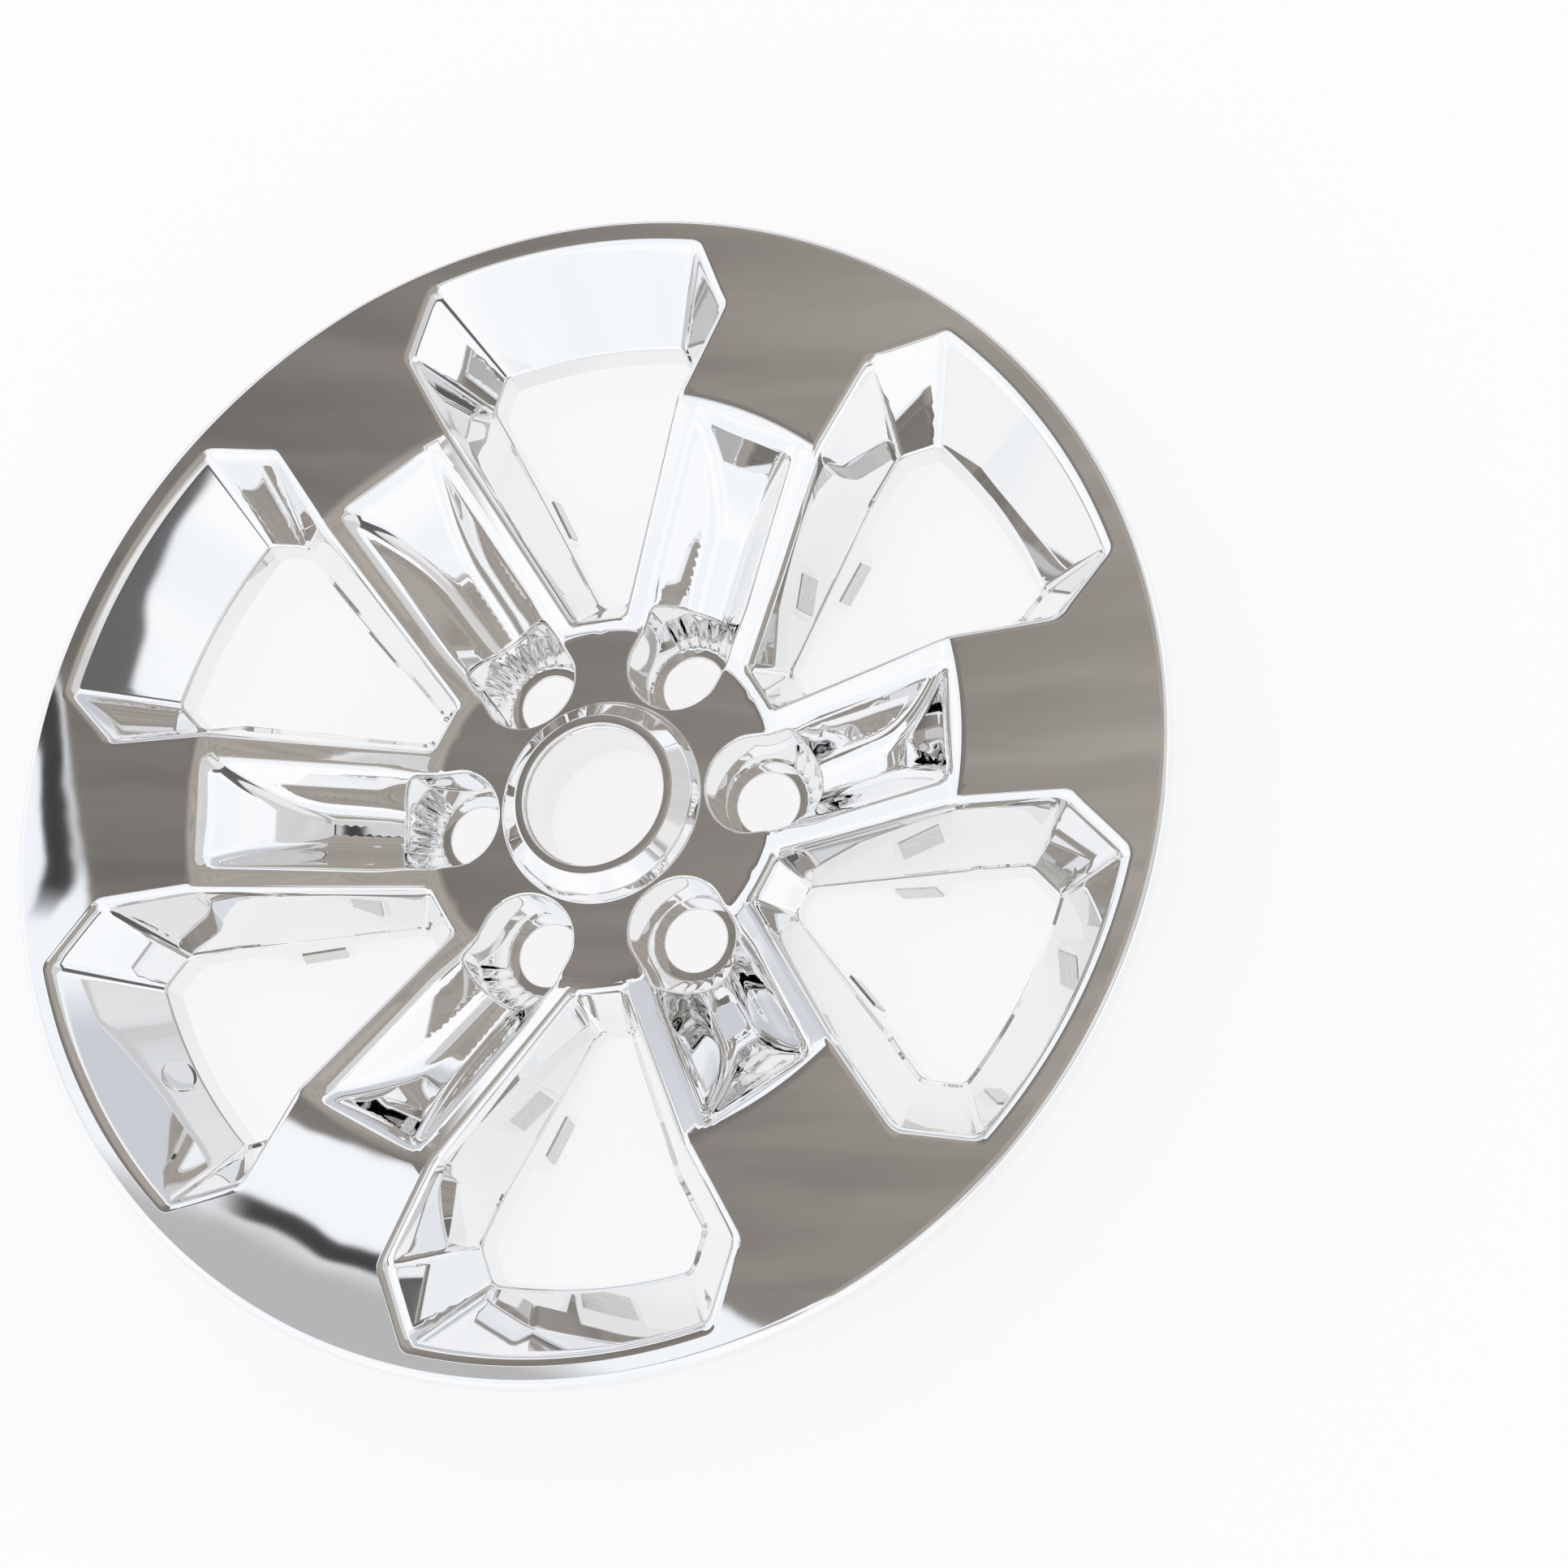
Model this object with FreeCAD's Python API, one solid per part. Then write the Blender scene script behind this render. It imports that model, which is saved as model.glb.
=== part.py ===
"""Chrome wheel cover for a six-lug truck wheel, with its steel retention clips.

The cover lies face up. The wheel axis is +Z, the outboard face looks to +Z,
and Z = 0 is the plane of the six lug seats that it rests on. One window is
centred on +Y. Sizes are in millimetres and angles in degrees.
"""
import FreeCAD, Part
import math
import os

from FreeCAD import Vector

# Overall moulding
OUTER_RADIUS = 265.0          # outer edge of the rim
OVERALL_DEPTH = 82.0          # lug seat plane to the flat outer face
WALL = 2.6                    # moulded wall, measured square to the face
SPOKE_COUNT = 6

# Rim edge
RIM_BEVEL = 3.6               # between the face and the rim's side
RIM_EDGE_FILL = 1.5           # thicker wall inside the rim's bevel
RIM_DEPTH = 16.0              # height of the rim's side
RIM_DRAFT = 1.5               # how far the side leans in over that height

# Dished face, as radius and depth below the flat outer face
FACE_RING_WIDTH = 88.0        # flat outer face, from the rim's edge to the crease
DISH_FOOT_RADIUS = 88.0       # inner end of the dished spokes
DISH_FOOT_DEPTH = 48.5
WEB_DEPTH = 51.0              # flat web round the hub

# Hub ring and bore
BORE_RADIUS = 32.0
BORE_END_HEIGHT = 8.0         # lower end of the hub tube above the seat plane
HUB_LIP_DEPTH = 39.0          # top of the inner lip below the outer face
HUB_FLAT_RADIUS = 40.0        # outer edge of the sloping ring face
HUB_FLAT_DEPTH = 42.0
HUB_SHOULDER_RADIUS = 44.7
HUB_SHOULDER_DEPTH = 45.5
HUB_FOOT_RADIUS = 47.0

# Window outline at the face, along and across the window's own centre line
WINDOW_INNER_ALONG = 87.0
WINDOW_INNER_HALF = 12.0
WINDOW_CORNER_INSET = 54.6    # rim's edge to where the straight side meets the chamfer
WINDOW_CORNER_HALF = 76.3
WINDOW_SHOULDER_HALF = 64.8   # where the chamfer meets the outer arc
WINDOW_RIM_WIDTH = 13.0       # face between the outer arc and the rim's edge
WINDOW_CORNER_BEVEL = 4.0
WINDOW_INNER_BEVEL = 4.5

# Window walls: how far each leans in for each millimetre of depth
SIDE_DRAFT = 0.39
CHAMFER_DRAFT = 0.68
ARC_DRAFT = 0.78
INNER_DRAFT = 0.55
WALL_DEPTH = 41.0             # main wall below the flat face
SKIRT_DEPTH = 10.0            # narrow second facet below the main wall
SKIRT_LEDGE = 1.4             # ledge between the two
SKIRT_DRAFT_SHARE = 0.35      # the skirt is steeper than the main wall
INNER_DEPTH_SHARE = 0.60      # the walls are lower towards the hub

# Lug pockets, along and across the spoke on the dished face
LUG_CIRCLE_DIAMETER = 139.7
LUG_HOLE_RADIUS = 14.5
POCKET_END_INSET = 6.0        # outer end of the pocket, in from the crease
POCKET_OUTER_HALF = 25.0
POCKET_INNER_HALF = 22.0
POCKET_DEPTH = 18.0
POCKET_SIDE_DRAFT = 0.86
POCKET_END_DRAFT = 1.90
POCKET_CORNER_BEVEL = 6.0

# Lug wells at the inner ends of the pockets
WELL_SEAT_RADIUS = 19.5
WELL_MOUTH_RADIUS = 29.5      # top of the fluted cone
WELL_MOUTH_HEIGHT = 20.5
WELL_HUB_FACETS = 9           # flats round the side that faces the hub
FLUTE_COUNT = 7
FLUTE_HEIGHT = 1.6
FLUTE_PITCH = 14.0            # angle from one flute to the next

# Small round boss on one window's outer wall
BOSS_WINDOW = 2               # counted round from the window on +Y
BOSS_RADIUS = 8.5
BOSS_HEIGHT = 1.2
BOSS_DEPTH = 35.0             # its centre below the flat face

# Clip tabs below the side walls of the windows
TAB_INSET = 14.0              # outer end of the tab, in from the crease
TAB_WIDTH = 27.0
TAB_HEIGHT = 13.0             # below the foot of the wall, at the crease
TAB_TAPER = 1.5               # how much each end leans in
TAB_ROOT = 4.0                # how far the tab runs up into the wall

# Folded steel clips over the tabs
CLIP_WIDTH = 20.0
CLIP_SHEET = 0.6
CLIP_BACK_LEG = 11.0          # leg towards the spoke
CLIP_FRONT_LEG = 8.0          # leg towards the window
CLIP_CLEARANCE = 0.05         # between the clip and the tab
CLIP_SLOT_RISE = 1.6          # fold to the row of slots
CLIP_SLOT_HEIGHT = 1.6
CLIP_SLOT_SHORT = 3.0
CLIP_SLOT_LONG = 6.0
CLIP_SLOT_GAP = 1.6
CLIP_OPENING_RISE = 5.4       # fold to the pair of larger openings
CLIP_OPENING_WIDTH = 4.6
CLIP_OPENING_HEIGHT = 3.6
CLIP_OPENING_SPACING = 8.4

# Worked out from the sizes above
FACE = OVERALL_DEPTH
AXIS = Vector(0, 0, 1)
STEP_ANGLE = 360.0 / SPOKE_COUNT
LUG_RADIUS = LUG_CIRCLE_DIAMETER / 2
CREASE_RADIUS = OUTER_RADIUS - FACE_RING_WIDTH
WINDOW_ARC_RADIUS = OUTER_RADIUS - WINDOW_RIM_WIDTH
WINDOW_CORNER_ALONG = OUTER_RADIUS - WINDOW_CORNER_INSET
POCKET_END_RADIUS = CREASE_RADIUS - POCKET_END_INSET
DISH_SLOPE = DISH_FOOT_DEPTH / (CREASE_RADIUS - DISH_FOOT_RADIUS)
DISH_ANGLE = math.atan(DISH_SLOPE)
WEB_EDGE_RADIUS = CREASE_RADIUS - WEB_DEPTH / DISH_SLOPE
OVERCUT = 12.0                # how far a cutter runs past the skin


def polygon_face(points):
    return Part.Face(Part.makePolygon(list(points) + [points[0]]))


def turned(shape, angle):
    copy = shape.copy()
    copy.rotate(Vector(), AXIS, angle)
    return copy


def ring_of(shape, count=SPOKE_COUNT):
    return [turned(shape, i * 360.0 / count) for i in range(count)]


def line_meet(p, d, q, e):
    """Point where the plan lines p + s d and q + t e cross."""
    cross = d[0] * e[1] - d[1] * e[0]
    s = ((q[0] - p[0]) * e[1] - (q[1] - p[1]) * e[0]) / cross
    return (p[0] + s * d[0], p[1] + s * d[1])


def line_circle(p, d, radius):
    """Outermost point of the plan line p + s d at a radius from the axis."""
    a = d[0] ** 2 + d[1] ** 2
    b = p[0] * d[0] + p[1] * d[1]
    c = p[0] ** 2 + p[1] ** 2 - radius ** 2
    s = (-b + math.sqrt(b * b - a * c)) / a
    return (p[0] + s * d[0], p[1] + s * d[1])


def unit(p, q):
    length = math.hypot(q[0] - p[0], q[1] - p[1])
    return ((q[0] - p[0]) / length, (q[1] - p[1]) / length)


def shifted(p, direction, distance):
    return (p[0] + direction[0] * distance, p[1] + direction[1] * distance)


# Turned forms: the dished face, the rim and the hub ring

def face_profile(hub_ring, rim_edge):
    """Radius and height along the skin from bore to rim, with the hub ring and rim's edge as given."""
    bore = [(BORE_RADIUS, BORE_END_HEIGHT), (BORE_RADIUS, FACE - HUB_LIP_DEPTH)]
    dish = [
        (HUB_FOOT_RADIUS, FACE - WEB_DEPTH),
        (WEB_EDGE_RADIUS, FACE - WEB_DEPTH),
        (CREASE_RADIUS, FACE),
    ]
    return bore + hub_ring + dish + rim_edge + [(OUTER_RADIUS - RIM_DRAFT, FACE - RIM_DEPTH)]


def offset_profile(points, distance):
    """The same profile moved towards the back by an even distance."""
    moved = []
    for i, point in enumerate(points):
        before = unit(points[i - 1], point) if i else None
        after = unit(point, points[i + 1]) if i < len(points) - 1 else None
        before = before or after
        after = after or before
        p = shifted(point, (before[1], -before[0]), distance)
        q = shifted(point, (after[1], -after[0]), distance)
        turn = before[0] * after[1] - before[1] * after[0]
        moved.append(line_meet(p, before, q, after) if abs(turn) > 1e-6 else p)
    return moved


def revolved(points):
    face = polygon_face([Vector(r, 0, z) for r, z in points])
    return face.revolve(Vector(), AXIS, 360)


def wall_foot_height(radius):
    """Height of the free edge of the window walls at a radius."""
    outer_foot = FACE - WALL_DEPTH - SKIRT_DEPTH
    inner_foot = FACE - DISH_FOOT_DEPTH - (WALL_DEPTH + SKIRT_DEPTH) * INNER_DEPTH_SHARE
    share = (radius - DISH_FOOT_RADIUS) / (CREASE_RADIUS - DISH_FOOT_RADIUS)
    return inner_foot + (outer_foot - inner_foot) * min(share, 1.0)


def outer_body():
    """Everything the moulding may fill, with the bevelled rim and hub ring."""
    well_reach = LUG_RADIUS + WELL_SEAT_RADIUS + 2 * WALL
    tube_reach = BORE_RADIUS + 2 * WALL
    rim_reach = OUTER_RADIUS - RIM_DRAFT - 2 * WALL
    back = [
        (rim_reach, FACE - RIM_DEPTH),
        (rim_reach, wall_foot_height(CREASE_RADIUS)),
        (CREASE_RADIUS, wall_foot_height(CREASE_RADIUS)),
        (well_reach, wall_foot_height(well_reach)),
        (well_reach, 0.0),
        (tube_reach, 0.0),
        (tube_reach, BORE_END_HEIGHT),
    ]
    hub_ring = [(HUB_FLAT_RADIUS, FACE - HUB_FLAT_DEPTH),
                (HUB_SHOULDER_RADIUS, FACE - HUB_SHOULDER_DEPTH)]
    rim_edge = [(OUTER_RADIUS - RIM_BEVEL, FACE), (OUTER_RADIUS, FACE - RIM_BEVEL)]
    return revolved(face_profile(hub_ring, rim_edge) + back)


def inner_body():
    """Space behind the skin before the walls are left standing in it, plain behind the hub ring."""
    inside = offset_profile(face_profile([], [(OUTER_RADIUS - RIM_EDGE_FILL, FACE)]), WALL)
    first, last = inside[0], inside[-1]
    return revolved([(first[0], -OVERCUT)] + inside[1:] + [(last[0], -OVERCUT)])


# Windows: flat walls that lean in from the edge of the face

def window_side():
    """Inner and outer end of the window's straight side in plan."""
    inner = (WINDOW_INNER_ALONG, WINDOW_INNER_HALF)
    corner = (WINDOW_CORNER_ALONG, WINDOW_CORNER_HALF)
    return inner, corner


def window_loop(depth, side_in, chamfer_in, end_in):
    """Corners of the window at a depth below the face, on its positive side.

    The three last values say how far each wall has leaned in at that depth.
    Depth and lean shrink towards the hub by the inner share. The last point is
    where the chamfer would reach the window's centre line, far outside.
    """
    inner, corner = window_side()
    along = unit(inner, corner)
    inward = (along[1], -along[0])
    crease = line_circle(inner, along, CREASE_RADIUS)
    crease_low = shifted(crease, inward, side_in)
    inner_low = shifted(inner, inward, side_in * INNER_DEPTH_SHARE)
    shoulder_along = math.sqrt(WINDOW_ARC_RADIUS ** 2 - WINDOW_SHOULDER_HALF ** 2)
    chamfer = unit(corner, (shoulder_along, WINDOW_SHOULDER_HALF))
    chamfer_point = shifted(corner, (chamfer[1], -chamfer[0]), chamfer_in)
    corner_low = line_meet(crease_low, along, chamfer_point, chamfer)
    tip = line_meet(chamfer_point, chamfer, (0, 0), (1, 0))
    end_along = inner[0] + end_in * INNER_DEPTH_SHARE
    share = (end_along - crease_low[0]) / (inner_low[0] - crease_low[0])
    end_half = crease_low[1] + share * (inner_low[1] - crease_low[1])
    high = FACE - depth
    low = FACE - DISH_FOOT_DEPTH - depth * INNER_DEPTH_SHARE
    end_height = high + share * (low - high)
    return [
        Vector(end_along, end_half, end_height),
        Vector(crease_low[0], crease_low[1], high),
        Vector(corner_low[0], corner_low[1], high),
        Vector(tip[0], 0, high),
    ]


def mirrored(point):
    return Vector(point.x, -point.y, point.z)


def sewn(faces):
    """Closed solid from flat faces that meet edge to edge."""
    shell = Part.makeShell(faces)
    shell.sewShape()
    solid = Part.Solid(shell)
    if solid.Volume < 0:
        solid.reverse()
    return solid


def side_faces(upper, lower):
    """Flat faces that join two outlines with as many points."""
    corners = zip(upper, upper[1:] + upper[:1], lower[1:] + lower[:1], lower)
    return [polygon_face(quad) for quad in corners]


def window_block(upper, lower):
    """Closed solid between two window loops."""
    outlines = [loop + [mirrored(p) for p in reversed(loop[:3])] for loop in (upper, lower)]
    faces = side_faces(outlines[0], outlines[1])
    for outline in outlines:
        faces.append(polygon_face(outline[1:6]))
        faces.append(polygon_face(outline[:2] + outline[5:]))
    return sewn(faces)


def arc_cone(radius, lean):
    """Round body with the window's outer wall as its side, by its radius at the face."""
    low = -2 * OVERCUT
    high = FACE + OVERCUT
    return Part.makeCone(radius - lean * (FACE - low), radius + lean * (high - FACE),
                         high - low, Vector(0, 0, low))


def wall_edges(solid, upper, lower, index):
    """Edges that run down the wall at one corner of the window, on both sides."""
    found = []
    for side in (lambda p: p, mirrored):
        a = side(upper[index])
        b = side(lower[index])
        for edge in solid.Edges:
            ends = [v.Point for v in edge.Vertexes]
            if len(ends) != 2:
                continue
            same = ends[0].isEqual(a, 1e-4) and ends[1].isEqual(b, 1e-4)
            swapped = ends[0].isEqual(b, 1e-4) and ends[1].isEqual(a, 1e-4)
            if same or swapped:
                found.append(edge)
    return found


def main_wall_loop(depth, grow):
    return window_loop(depth, SIDE_DRAFT * depth - grow, CHAMFER_DRAFT * depth - grow,
                       INNER_DRAFT * depth - grow / INNER_DEPTH_SHARE)


def skirt_loop(depth, grow):
    """Loop of the steeper facet that starts a ledge in from the main wall."""
    lean = WALL_DEPTH + (depth - WALL_DEPTH) * SKIRT_DRAFT_SHARE
    ledge = SKIRT_LEDGE - grow
    return window_loop(depth, SIDE_DRAFT * lean + ledge, CHAMFER_DRAFT * lean + ledge,
                       INNER_DRAFT * lean + ledge)


def walled_block(upper, lower, cone, bevels):
    """Window block inside its outer wall, with the upright corners of these numbers bevelled."""
    block = window_block(upper, lower)
    for index, bevel in bevels:
        block = block.makeChamfer(bevel, wall_edges(block, upper, lower, index))
    return block.common(cone)


def window_cutter(grow=0.0):
    """Solid that opens one window along +X; grow leaves a wall round it, square at its corners."""
    bevels = [] if grow else [(0, WINDOW_INNER_BEVEL), (2, WINDOW_CORNER_BEVEL)]
    main = walled_block(main_wall_loop(-OVERCUT, grow), main_wall_loop(WALL_DEPTH, grow),
                        arc_cone(WINDOW_ARC_RADIUS + grow, ARC_DRAFT), bevels)
    skirt_lean = ARC_DRAFT * SKIRT_DRAFT_SHARE
    skirt_radius = WINDOW_ARC_RADIUS - (ARC_DRAFT - skirt_lean) * WALL_DEPTH - SKIRT_LEDGE + grow
    skirt = walled_block(skirt_loop(WALL_DEPTH - SKIRT_LEDGE, grow),
                         skirt_loop(WALL_DEPTH + SKIRT_DEPTH + OVERCUT, grow),
                         arc_cone(skirt_radius, skirt_lean), bevels)
    return main.fuse(skirt)


# Lug pockets: troughs down the dished spokes that end in fluted wells

def spoke_point(along, across, above):
    """Point on the spoke along +X, in the frame of its sloping face."""
    radius = LUG_RADIUS + along * math.cos(DISH_ANGLE) - above * math.sin(DISH_ANGLE)
    dish = FACE - (CREASE_RADIUS - LUG_RADIUS) * DISH_SLOPE
    height = dish + along * math.sin(DISH_ANGLE) + above * math.cos(DISH_ANGLE)
    return Vector(radius, across, height)


def trough_loop(above, grow):
    """Corners of the trough at a level over the sloping face, inner end first."""
    side_shift = POCKET_SIDE_DRAFT * above + grow * math.hypot(1, POCKET_SIDE_DRAFT)
    end_shift = POCKET_END_DRAFT * above + grow * math.hypot(1, POCKET_END_DRAFT)
    length = (POCKET_END_RADIUS - LUG_RADIUS) / math.cos(DISH_ANGLE)
    taper = (POCKET_OUTER_HALF - POCKET_INNER_HALF) / length
    start = WELL_MOUTH_RADIUS / 2 / math.cos(DISH_ANGLE)
    end = length + end_shift
    side = POCKET_INNER_HALF + side_shift
    loop = [spoke_point(start, side + taper * start, above), spoke_point(end, side + taper * end, above)]
    return loop + [mirrored(p) for p in reversed(loop)]


def trough_block(grow):
    top = trough_loop(OVERCUT, grow)
    floor = trough_loop(-POCKET_DEPTH - grow, grow)
    return sewn(side_faces(top, floor) + [polygon_face(top), polygon_face(floor)])


def well_angles(grow):
    """Angles round the seat where the well's wall bends: at each flute, then evenly past the hub."""
    reach = FLUTE_COUNT * FLUTE_PITCH / 2
    step = FLUTE_PITCH if grow else FLUTE_PITCH / 2
    outer = [-reach + i * step for i in range(round(2 * reach / step) + 1)]
    hub_step = (360.0 - 2 * reach) / WELL_HUB_FACETS
    return outer + [reach + i * hub_step for i in range(1, WELL_HUB_FACETS)]


def well_outline(radius, height, grow):
    """Corners of the well's wall at a height, kept inside the pocket's outline."""
    taper = (POCKET_OUTER_HALF - POCKET_INNER_HALF) / (POCKET_END_RADIUS - LUG_RADIUS)
    half = POCKET_INNER_HALF + grow
    corners = []
    for i, degrees in enumerate(well_angles(grow)):
        along = math.cos(math.radians(degrees))
        across = math.sin(math.radians(degrees))
        reach = radius + grow
        if along < 0:
            reach = min(reach, half)
        elif abs(across) > taper * along:
            reach = min(reach, half / (abs(across) - taper * along))
        if not grow and i % 2 and i < 2 * FLUTE_COUNT:
            reach -= FLUTE_HEIGHT
        corners.append(Vector(LUG_RADIUS + reach * along, reach * across, height))
    return corners


def slant_faces(upper, lower):
    """Pairs of three-cornered faces that join two outlines with as many points."""
    faces = []
    for a, b, c, d in zip(upper, upper[1:] + upper[:1], lower[1:] + lower[:1], lower):
        faces += [polygon_face([a, b, c]), polygon_face([a, c, d])]
    return faces


def well(grow, foot):
    """Fluted well over one lug seat, which opens to its mouth and runs on upright."""
    seat = well_outline(WELL_SEAT_RADIUS, foot, grow)
    mouth = well_outline(WELL_MOUTH_RADIUS, WELL_MOUTH_HEIGHT, grow)
    top = well_outline(WELL_MOUTH_RADIUS, FACE - WEB_DEPTH + OVERCUT, grow)
    ends = [polygon_face(seat), polygon_face(top)]
    return sewn(slant_faces(mouth, seat) + side_faces(top, mouth) + ends)


def pocket_cutter():
    """Trough, fluted well and lug hole of the spoke along +X."""
    hole = Part.makeCylinder(LUG_HOLE_RADIUS, WALL + 2 * OVERCUT, Vector(LUG_RADIUS, 0, -OVERCUT))
    trough = trough_block(0.0)
    corners = wall_edges(trough, trough_loop(OVERCUT, 0.0), trough_loop(-POCKET_DEPTH, 0.0), 1)
    return trough.makeChamfer(POCKET_CORNER_BEVEL, corners).fuse([well(0.0, WALL), hole])


def pocket_skin():
    """The pocket with its wall, which the space behind must leave standing."""
    return trough_block(WALL).fuse(well(WALL, 0.0))


# Small features of the moulding

def window_boss():
    """Round boss low on the outer wall of the window along +X."""
    radius = WINDOW_ARC_RADIUS - ARC_DRAFT * BOSS_DEPTH
    out = Vector(-1, 0, ARC_DRAFT).normalize()
    root = Vector(radius, 0, FACE - BOSS_DEPTH) - out * (WALL / 2)
    return Part.makeCylinder(BOSS_RADIUS, BOSS_HEIGHT + WALL / 2, root, out)


def tab_corner(along, depth, grow):
    """Point on the facet under the window's side, at a depth below the face."""
    inner, crease = skirt_loop(depth, grow)[:2]
    return inner + (crease - inner) * ((along - inner.x) / (crease.x - inner.x))


def tab_corners(grow):
    """Upper inner, upper outer, lower outer and lower inner corner of a tab."""
    foot = WALL_DEPTH + SKIRT_DEPTH
    outer = skirt_loop(foot, 0.0)[1].x - TAB_INSET
    inner = outer - TAB_WIDTH
    return [tab_corner(inner, foot - TAB_ROOT, grow),
            tab_corner(outer, foot - TAB_ROOT, grow),
            tab_corner(outer - TAB_TAPER, foot + TAB_HEIGHT, grow),
            tab_corner(inner + TAB_TAPER, foot + TAB_HEIGHT, grow)]


def clip_tab():
    """Plate that carries one clip, on the positive side of the window along +X."""
    outlines = [Part.makePolygon(loop + loop[:1]) for loop in (tab_corners(0.0), tab_corners(WALL))]
    return Part.makeLoft(outlines, True, True)


def both_sides(shape):
    return [shape, shape.mirror(Vector(), Vector(0, 1, 0))]


# Cover shell

def cover_shell():
    half_step = STEP_ANGLE / 2
    windows = ring_of(turned(window_cutter(), 90))
    window_walls = ring_of(turned(window_cutter(WALL), 90))
    pockets = ring_of(turned(pocket_cutter(), 90 + half_step))
    pocket_skins = ring_of(turned(pocket_skin(), 90 + half_step))
    space = inner_body().cut(window_walls + pocket_skins)
    body = outer_body().cut(windows + pockets)
    boss = turned(window_boss(), 90 + BOSS_WINDOW * STEP_ANGLE)
    tabs = [tab for side in both_sides(clip_tab()) for tab in ring_of(turned(side, 90))]
    return body.cut(space).fuse([boss] + tabs).removeSplitter()


# Retention clips: folded strips of spring steel that grip the wheel behind

def block(width, y_range, z_range, centre=0.0):
    """Box across a clip, by its width, its reach through the tab and up the wall."""
    corner = Vector(centre - width / 2, y_range[0], z_range[0])
    return Part.makeBox(width, y_range[1] - y_range[0], z_range[1] - z_range[0], corner)


def clip_strip(tab_thickness):
    """Clip with its fold under the origin, X along the tab, Y through it, Z up the wall."""
    front = -CLIP_CLEARANCE
    back = tab_thickness + CLIP_CLEARANCE
    fold = -CLIP_CLEARANCE - CLIP_SHEET
    strip = block(CLIP_WIDTH, (front - CLIP_SHEET, back + CLIP_SHEET), (fold, CLIP_BACK_LEG))
    cuts = [block(CLIP_WIDTH, (front, back), (-CLIP_CLEARANCE, CLIP_BACK_LEG)),
            block(CLIP_WIDTH, (front - CLIP_SHEET, front), (CLIP_FRONT_LEG, CLIP_BACK_LEG))]
    leg = (back, back + CLIP_SHEET)
    slot_rows = (CLIP_SLOT_RISE, CLIP_SLOT_RISE + CLIP_SLOT_HEIGHT)
    slot_step = (CLIP_SLOT_LONG + CLIP_SLOT_SHORT) / 2 + CLIP_SLOT_GAP
    for width, centre in ((CLIP_SLOT_SHORT, -slot_step), (CLIP_SLOT_LONG, 0.0),
                          (CLIP_SLOT_SHORT, slot_step)):
        cuts.append(block(width, leg, slot_rows, centre))
    opening_rows = (CLIP_OPENING_RISE, CLIP_OPENING_RISE + CLIP_OPENING_HEIGHT)
    for centre in (-CLIP_OPENING_SPACING / 2, CLIP_OPENING_SPACING / 2):
        cuts.append(block(CLIP_OPENING_WIDTH, leg, opening_rows, centre))
    return strip.cut(cuts).removeSplitter()


def retention_clip():
    """Clip on the tab at the positive side of the window along +X."""
    front = tab_corners(0.0)
    back = tab_corners(WALL)
    along = (front[2] - front[3]).normalize()
    origin = (front[2] + front[3]) * 0.5
    rise = (front[0] + front[1]) * 0.5 - origin
    up = (rise - along * rise.dot(along)).normalize()
    out = up.cross(along)
    clip = clip_strip((back[2] - front[2]).dot(out))
    place = FreeCAD.Matrix(along.x, out.x, up.x, origin.x,
                           along.y, out.y, up.y, origin.y,
                           along.z, out.z, up.z, origin.z)
    clip.Placement = FreeCAD.Placement(place)
    return clip


def retention_clips():
    """Two clips for each window, in order round the cover from the window on +Y."""
    pair = [turned(side, 90) for side in both_sides(retention_clip())]
    rings = [ring_of(side) for side in pair]
    return [clip for couple in zip(rings[1], rings[0]) for clip in couple]


def write_node(name, shape):
    print(name, shape.isValid(), len(shape.Solids), round(shape.Volume, 1))
    shape.exportStep(os.path.join("parts", name + ".step"))


os.makedirs("parts", exist_ok=True)
write_node("cover_shell", cover_shell())
for number, clip in enumerate(retention_clips(), 1):
    write_node("retention_clip_%02d" % number, clip)
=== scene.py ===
"""Chrome wheel cover dressed for a studio picture, laid out as a Blender add-on.

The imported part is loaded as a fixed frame. The chrome skin is modelled again at a finer
grain than the solid it stands for, with soft edges, and the steel clips keep their solids.
"""

import math

import bpy
import numpy as np
from mathutils import Matrix, Vector
from mathutils.geometry import delaunay_2d_cdt
from mathutils.kdtree import KDTree


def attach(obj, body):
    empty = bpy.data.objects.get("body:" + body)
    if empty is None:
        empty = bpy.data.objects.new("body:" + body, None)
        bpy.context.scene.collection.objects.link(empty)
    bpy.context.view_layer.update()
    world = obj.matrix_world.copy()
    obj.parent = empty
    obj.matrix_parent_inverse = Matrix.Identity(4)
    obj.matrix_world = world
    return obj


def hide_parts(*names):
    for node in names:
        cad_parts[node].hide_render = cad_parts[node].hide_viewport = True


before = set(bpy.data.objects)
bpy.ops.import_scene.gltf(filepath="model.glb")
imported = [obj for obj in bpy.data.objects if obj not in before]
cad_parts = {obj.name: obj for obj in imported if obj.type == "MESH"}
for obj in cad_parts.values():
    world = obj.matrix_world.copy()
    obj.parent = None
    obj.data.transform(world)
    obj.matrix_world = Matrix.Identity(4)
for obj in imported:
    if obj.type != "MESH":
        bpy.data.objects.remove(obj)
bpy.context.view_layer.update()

bl_info = {
    "name": "Wheel cover",
    "version": (1, 0, 0),
    "blender": (4, 5, 0),
    "location": "View3D > Sidebar > Wheel Cover",
    "description": "Builds the chrome skin, the clip finish and the stage of a wheel cover",
    "category": "Object",
}

MM = 0.001
SPOKES = 6
STEP = 2 * math.pi / SPOKES

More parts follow.
